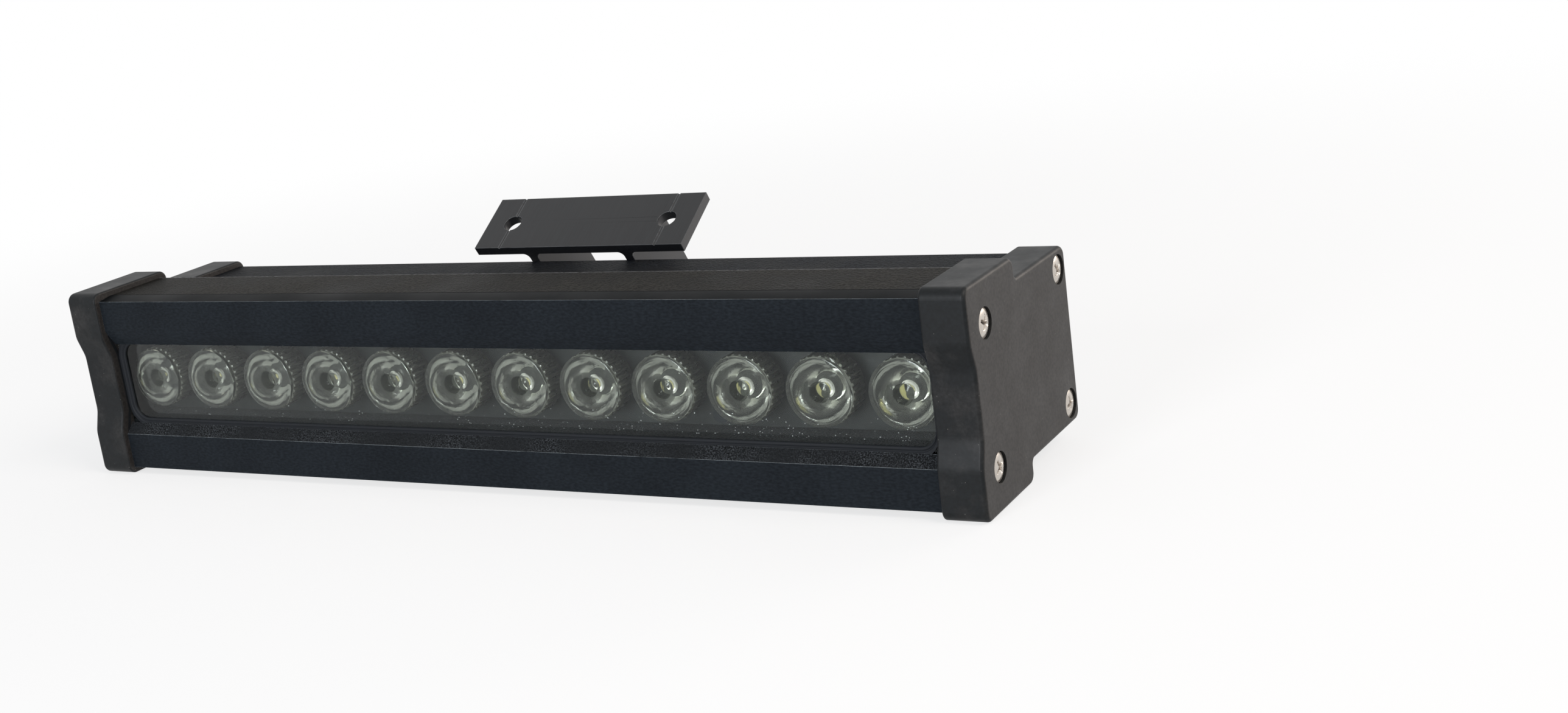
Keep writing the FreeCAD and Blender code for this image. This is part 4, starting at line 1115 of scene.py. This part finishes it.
@dataclass
class HolderRow:
    """Twelve serrated cups that hold the lenses over the board."""

    frame: Frame
    ribs: int = 30
    steps_per_rib: int = 8
    front_root_mm: float = 9.6
    front_tip_mm: float = 10.25
    back_root_mm: float = 8.9
    back_tip_mm: float = 10.1
    foot_mm: float = 8.6
    foot_height_mm: float = 2.4
    bore_front_mm: float = 9.45
    bore_back_mm: float = 5.6
    height_mm: float = 10.05

    def wave(self, step: int) -> float:
        """Return how far a rib stands out at a step round the cup, from 0 in a gap to 1 on a crown."""
        phase = (step % self.steps_per_rib) / self.steps_per_rib
        return min(1.0, max(0.0, 2.2 * abs(phase - 0.5) * 2 - 0.6))

    def rings(self) -> list[tuple[float, float, float]]:
        """List the cup's outer rings, then the bore's.

        Returns:
            (root radius, tip radius, depth) in millimetres for each ring.
        """
        ease = 0.35
        back = self.height_mm - self.foot_height_mm
        return [
            (self.front_root_mm - ease, self.front_tip_mm - 2 * ease, 0.0),
            (self.front_root_mm, self.front_tip_mm, ease),
            (self.back_root_mm, self.back_tip_mm, back - ease),
            (self.back_root_mm - ease, self.back_tip_mm - 2 * ease, back),
            (self.foot_mm - ease, self.foot_mm - ease, back + 0.05),
            (self.foot_mm, self.foot_mm, self.height_mm - 0.15),
            (self.foot_mm - 0.15, self.foot_mm - 0.15, self.height_mm),
            (self.bore_back_mm, self.bore_back_mm, self.height_mm),
            (self.bore_back_mm, self.bore_back_mm, self.height_mm - 1.5),
            (self.bore_front_mm, self.bore_front_mm, 2.0),
            (self.bore_front_mm, self.bore_front_mm, 0.0),
        ]

    def build(self) -> None:
        """Build one cup and set it in place twelve times, over the CAD holders."""
        builder = bmesh.new()
        count = self.ribs * self.steps_per_rib
        rings = []
        for root, tip, depth in self.rings():
            ring = []
            for step in range(count):
                angle = 2 * math.pi * step / count
                radius = (root + (tip - root) * self.wave(step)) * MM
                place = (radius * math.cos(angle), depth * MM, radius * math.sin(angle))
                ring.append(builder.verts.new(place))
            rings.append(ring)
        for first, second in zip(rings, rings[1:] + rings[:1]):
            join_rings(builder, first, second)
        mesh = mesh_from(builder, "serrated_cup", crease_deg=50.0)
        mesh.materials.append(HOLDER_PLASTIC.material())
        names = self.frame.named("lens_holder_")
        self.frame.set_in_place(mesh, names, "lens_holder_", "serrated_cup_", "clear_holder")
        LOG.info("lens holders built")


@dataclass
class LedBoard:
    """The circuit board with its chips and screws."""

    frame: Frame

    def dress(self) -> None:
        """Dress the board, its chips and its screws."""
        dress(self.frame.node("led_board"), SOLDER_MASK)
        dress(self.frame.node("led_chips"), PHOSPHOR)
        dress(self.frame.node("board_screws"), BLACK_STEEL)
        LOG.info("board dressed")


@dataclass
class Driver:
    """The potted driver inside the housing."""

    frame: Frame

    def dress(self) -> None:
        """Dress the driver and its screws."""
        dress(self.frame.node("driver_module"), POTTED_CASE)
        dress(self.frame.node("driver_screws"), NICKEL)
        LOG.info("driver dressed")


@dataclass
class CapScrews:
    """Four recessed pan-head screws with a cross in each end cap."""

    frame: Frame
    head_mm: float = 4.15
    seat_inset_mm: float = 4.0
    head_height_mm: float = 2.4
    crown_mm: float = 0.7
    shank_mm: float = 2.0
    pitch_mm: float = 0.7
    arm_mm: float = 2.35
    arm_half_mm: float = 0.42
    cross_deep_mm: float = 1.5
    rings: int = 26
    turns: int = 72

    def sunk(self, across: float, up: float) -> float:
        """Return how deep the cross is at a point of the head.

        Args:
            across: first coordinate on the head, in millimetres.
            up: second coordinate on the head, in millimetres.

        Returns:
            The depth in millimetres.
        """
        deepest = 0.0
        for along, aside in ((abs(across), abs(up)), (abs(up), abs(across))):
            half = self.arm_half_mm * (1.15 - 0.3 * min(1.0, along / self.arm_mm))
            inside = min(1.0, max(0.0, (half + 0.12 - aside) / 0.24))
            reach = min(1.0, max(0.0, (self.arm_mm - along) / 0.9))
            deepest = max(deepest, inside * reach)
        return self.cross_deep_mm * deepest

    def screw(
        self, builder: bmesh.types.BMesh, centre: Vector, side: int, turn: float, length: float
    ) -> None:
        """Add one screw to a mesh.

        Args:
            builder: the mesh that it goes into.
            centre: the middle of its head's face.
            side: 1 where the head looks to +X, -1 where it looks to -X.
            turn: how far its cross is turned.
            length: its whole length.
        """
        rows: list[list[tuple[float, float, float]]] = []
        for ring in range(self.rings + 1):
            radius = self.head_mm * math.sin(0.5 * math.pi * (ring / self.rings) ** 0.8)
            row = []
            for step in range(self.turns if ring else 1):
                angle = 2 * math.pi * step / self.turns
                across, up = radius * math.cos(angle), radius * math.sin(angle)
                share = radius / self.head_mm
                row.append((across, up, self.crown_mm * (share ** 3 - 1) + self.sunk(across, up)))
            rows.append(row)
        below = [(self.head_mm, self.head_height_mm), (self.shank_mm, self.head_height_mm)]
        depth = self.head_height_mm
        while depth < length / MM - 1.5:
            below.append((self.shank_mm, depth + self.pitch_mm * 0.45))
            below.append((self.shank_mm - 0.25, depth + self.pitch_mm))
            depth += self.pitch_mm
        below += [(self.shank_mm - 0.3, length / MM - 0.8), (0.9, length / MM), (0.0, length / MM)]
        for radius, deep in below:
            count = self.turns if radius else 1
            angles = [2 * math.pi * step / self.turns for step in range(count)]
            rows.append([(radius * math.cos(angle), radius * math.sin(angle), deep) for angle in angles])
        made = []
        for row in rows:
            ring = []
            for across, up, deep in row:
                y = across * math.cos(turn) - up * math.sin(turn)
                z = across * math.sin(turn) + up * math.cos(turn)
                place = Vector((centre.x - side * deep * MM, centre.y + y * MM, centre.z + z * MM))
                ring.append(builder.verts.new(place))
            made.append(ring)
        for first, second in zip(made, made[1:]):
            join_rings(builder, first, second)

    def build(self) -> None:
        """Build the screws of both caps, with dirt and painted shade in their crosses, over the CAD screws.
        """
        for side, word in ((-1, "left"), (1, "right")):
            low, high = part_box(f"cap_screws_{word}")
            face = high.x if side > 0 else low.x
            finish = NickelSteel(
                name="nickel_plated_cap_screws", deep_mm=self.cross_deep_mm,
                face_mm=abs(face) / MM + self.crown_mm,
            )
            builder = bmesh.new()
            inset = self.seat_inset_mm * MM
            spots = [(y, z) for y in (low.y + inset, high.y - inset) for z in (low.z + inset, high.z - inset)]
            for (y, z), turn in zip(spots, (0.5, 1.1, 0.2, 0.75)):
                self.screw(builder, Vector((face, y, z)), side, turn, high.x - low.x)
            mesh = mesh_from(builder, f"cross_screws_{word}", 42.0)
            piece = new_piece(f"cross_screws_{word}", mesh, finish, Body.LAMP)
            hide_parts(f"cap_screws_{word}")
        LOG.info("cap screws built")


@dataclass
class GlueDabs:
    """Dabs of amber glue that hold three of the lenses in their cups."""

    frame: Frame
    dabs: tuple[tuple[str, float, float], ...] = (("07", 52.0, 0.9), ("10", 48.0, 1.0), ("11", 58.0, 1.9))
    seat_mm: float = 9.5
    depth_mm: float = 1.9

    def build(self) -> None:
        """Squeeze each dab between a lens rim and its cup."""
        shaper = random.Random(7)
        for number, angle_deg, size_mm in self.dabs:
            low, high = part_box(f"lens_{number}")
            builder = bmesh.new()
            bmesh.ops.create_icosphere(builder, subdivisions=3, radius=size_mm * MM)
            lobes = [Vector([shaper.uniform(-1, 1) for _ in range(3)]).normalized() for _ in range(5)]
            for vert in builder.verts:
                away = vert.co.normalized()
                swell = 1.0 + 0.3 * sum(max(0.0, away.dot(lobe)) ** 3 for lobe in lobes) - 0.25
                vert.co = Vector((vert.co.x * swell * 1.5, vert.co.y * swell * 0.7, vert.co.z * swell * 0.8))
            angle = math.radians(angle_deg)
            spin = Matrix.Rotation(-(angle + math.pi / 2), 4, "Y")
            reach = self.seat_mm * MM
            seat = Vector(((low.x + high.x) / 2 + reach * math.cos(angle), low.y + self.depth_mm * MM,
                           (low.z + high.z) / 2 + reach * math.sin(angle)))
            bmesh.ops.transform(builder, matrix=Matrix.Translation(seat) @ spin, verts=builder.verts)
            new_piece(f"glue_dab_{number}", mesh_from(builder, f"glue_dab_{number}", 80.0), AMBER_GLUE,
                      Body.LAMP)
        LOG.info("glue dabs built")


@dataclass
class CableGland:
    """The cable gland on the left cap."""

    frame: Frame

    def dress(self) -> None:
        """Dress the gland's body, seal and nut."""
        dress(self.frame.node("gland_body"), NYLON)
        dress(self.frame.node("gland_nut"), NYLON)
        dress(self.frame.node("gland_seal"), SILICONE)
        LOG.info("gland dressed")


@dataclass
class Bracket:
    """The tilting bracket, its hinge foot and the hardware between them."""

    frame: Frame
    edge_mm: float = 0.25

    def dress(self) -> None:
        """Anodise the bracket and foot, and plate the hardware."""
        for name in ("bracket", "hinge_foot"):
            dress(self.frame.node(name), ANODISED)
            ease_edges(self.frame.node(name), self.edge_mm, edge_highlight=BRACKET_EDGE)
        for name in ("hinge_bolt", "hinge_washers", "spring_washer", "lock_nut", "foot_screws"):
            dress(self.frame.node(name), NICKEL)
        dress(self.frame.node("friction_washers"), NYLON)
        LOG.info("bracket dressed")


# --------------------------------------------------------------------------------------------------
# Studio
# --------------------------------------------------------------------------------------------------


@dataclass
class Studio:
    """The pale floor, the soft lamps, the white surroundings and the camera."""

    camera_place: tuple[float, float, float] = (0.35845, -0.52251, 0.11552)
    camera_right: tuple[float, float, float] = (0.8518, 0.5043, -0.1419)
    camera_up: tuple[float, float, float] = (-0.0058, 0.2800, 0.9600)
    focal_px: float = 3251.78
    shift: tuple[float, float] = (0.0751, -0.0129)
    floor_reach: float = 6.0
    shadow_reach: tuple[float, float] = (0.2, 0.75)
    near_glow: float = 0.72
    ambient: float = 0.5
    lamps: list[tuple[str, tuple, tuple, tuple, float, str]] = field(default_factory=lambda: [
        # name, place, aimed at, width and height in metres, power in watts, colour
        ("key_from_right", (1.6, -0.35, 1.3), (0.1, 0.0, 0.0), (1.1, 1.1), 23.0, "#fff6ec"),
        ("tall_box_in_front", (-0.1, -1.6, 0.35), (0.0, 0.0, -0.03), (0.42, 0.8), 18.5, "#f6f9ff"),
        ("rim_from_behind_right", (1.0, 1.5, 0.35), (0.1, 0.0, 0.0), (0.9, 0.6), 9.0, "#fff2e6"),
    ])

    def build(self, lowest: float) -> None:
        """Set up the whole studio.

        Args:
            lowest: the height of the object's lowest point, where the floor goes.
        """
        self.place_camera()
        self.light_world()
        self.lay_floor(lowest)
        for name, place, target, size, power, colour in self.lamps:
            self.hang_lamp(name, place, target, size, power, colour)
        LOG.info("studio set up")

    def place_camera(self) -> None:
        """Set the camera to the photograph's viewing angle."""
        right = Vector(self.camera_right).normalized()
        up = Vector(self.camera_up)
        up = (up - right * up.dot(right)).normalized()
        back = right.cross(up)
        data = bpy.data.cameras.new("photograph_view")
        data.sensor_fit = "HORIZONTAL"
        data.sensor_width = SENSOR_MM
        data.lens = SENSOR_MM * self.focal_px / IMAGE_WIDTH_PX
        data.shift_x, data.shift_y = self.shift
        data.clip_start = 0.01
        camera = bpy.data.objects.new("photograph_view", data)
        turn = Matrix((right, up, back)).transposed().to_4x4()
        camera.matrix_world = Matrix.Translation(self.camera_place) @ turn
        bpy.context.scene.collection.objects.link(camera)
        bpy.context.scene.camera = camera

    def light_world(self) -> None:
        """Give soft even light, and show white to the camera, to mirrors and through glass."""
        world = bpy.data.worlds.new("soft_white_surroundings")
        tree = empty_tree(world)
        soft = add_node(tree, "Background", {"Color": linear("#f4f7fb"), "Strength": self.ambient}).outputs[0]
        white = add_node(tree, "Background", {"Color": (1, 1, 1, 1), "Strength": 1.0}).outputs[0]
        both = add_node(tree, "MixShader", {0: seen(tree), 1: soft, 2: white}).outputs[0]
        add_node(tree, "OutputWorld", {"Surface": both})
        bpy.context.scene.world = world

    def lay_floor(self, height: float) -> None:
        """Lay a pale floor that keeps the object's shadow and meets the white surroundings.

        Args:
            height: the floor's height.
        """
        builder = bmesh.new()
        reach = self.floor_reach
        corners = [(-reach, -reach), (reach, -reach), (reach, reach), (-reach, reach)]
        builder.faces.new([builder.verts.new((x, y, height)) for x, y in corners])
        mesh = mesh_from(builder, "studio_floor")
        floor = bpy.data.objects.new("studio_floor", mesh)
        bpy.context.scene.collection.objects.link(floor)
        material = bpy.data.materials.new("pale_paper_floor")
        tree = empty_tree(material)
        # Near the object a part of the paper's own light is kept, so that the shadow shows.
        away = add_node(tree, "VectorMath", {0: object_point(tree)}, operation="LENGTH").outputs["Value"]
        fade = {0: away, 1: self.shadow_reach[0], 2: self.shadow_reach[1], 3: self.near_glow, 4: 1.0}
        share = add_node(tree, "MapRange", fade, interpolation_type="SMOOTHSTEP").outputs[0]
        lift = calculate(tree, "MULTIPLY", seen(tree), share)
        paper = add_node(tree, "BsdfDiffuse", {"Color": linear("#f3f3f3")}).outputs[0]
        glow = add_node(tree, "Emission", {"Color": (1, 1, 1, 1), "Strength": 1.0}).outputs[0]
        both = add_node(tree, "MixShader", {0: lift, 1: paper, 2: glow}).outputs[0]
        add_node(tree, "OutputMaterial", {"Surface": both})
        mesh.materials.append(material)
        floor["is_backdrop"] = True

    def hang_lamp(
        self, name: str, place: tuple, target: tuple, size: tuple, power: float, colour: str
    ) -> None:
        """Hang one rectangular soft lamp.

        Args:
            name: the lamp's name.
            place: where it hangs.
            target: the point that it faces.
            size: its width and height.
            power: its power in watts.
            colour: its sRGB hex colour.
        """
        data = bpy.data.lights.new(name, "AREA")
        data.shape = "RECTANGLE"
        data.size, data.size_y = size
        data.energy = power
        data.color = linear(colour)[:3]
        lamp = bpy.data.objects.new(name, data)
        aim = Vector(target) - Vector(place)
        lamp.matrix_world = Matrix.Translation(place) @ aim.to_track_quat("-Z", "Y").to_matrix().to_4x4()
        bpy.context.scene.collection.objects.link(lamp)


def main() -> None:
    """Load the frame, build and dress every sub-assembly, and set up the studio."""
    logging.basicConfig(level=logging.INFO, format="%(name)s: %(message)s")
    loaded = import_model()
    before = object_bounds()
    bpy.context.scene.view_settings.view_transform = "Standard"
    frame = Frame(loaded["nodes"])
    Housing(frame).dress()
    EndCaps(frame).dress()
    FrontWindow(frame).dress()
    DriedSilicone(frame).build()
    LensRow(frame).build()
    HolderRow(frame).build()
    LedBoard(frame).dress()
    Driver(frame).dress()
    CapScrews(frame).build()
    GlueDabs(frame).build()
    CableGland(frame).dress()
    Bracket(frame).dress()
    Studio().build(lowest=before[0][2] - 0.2 * MM)


if __name__ == "__main__":
    main()
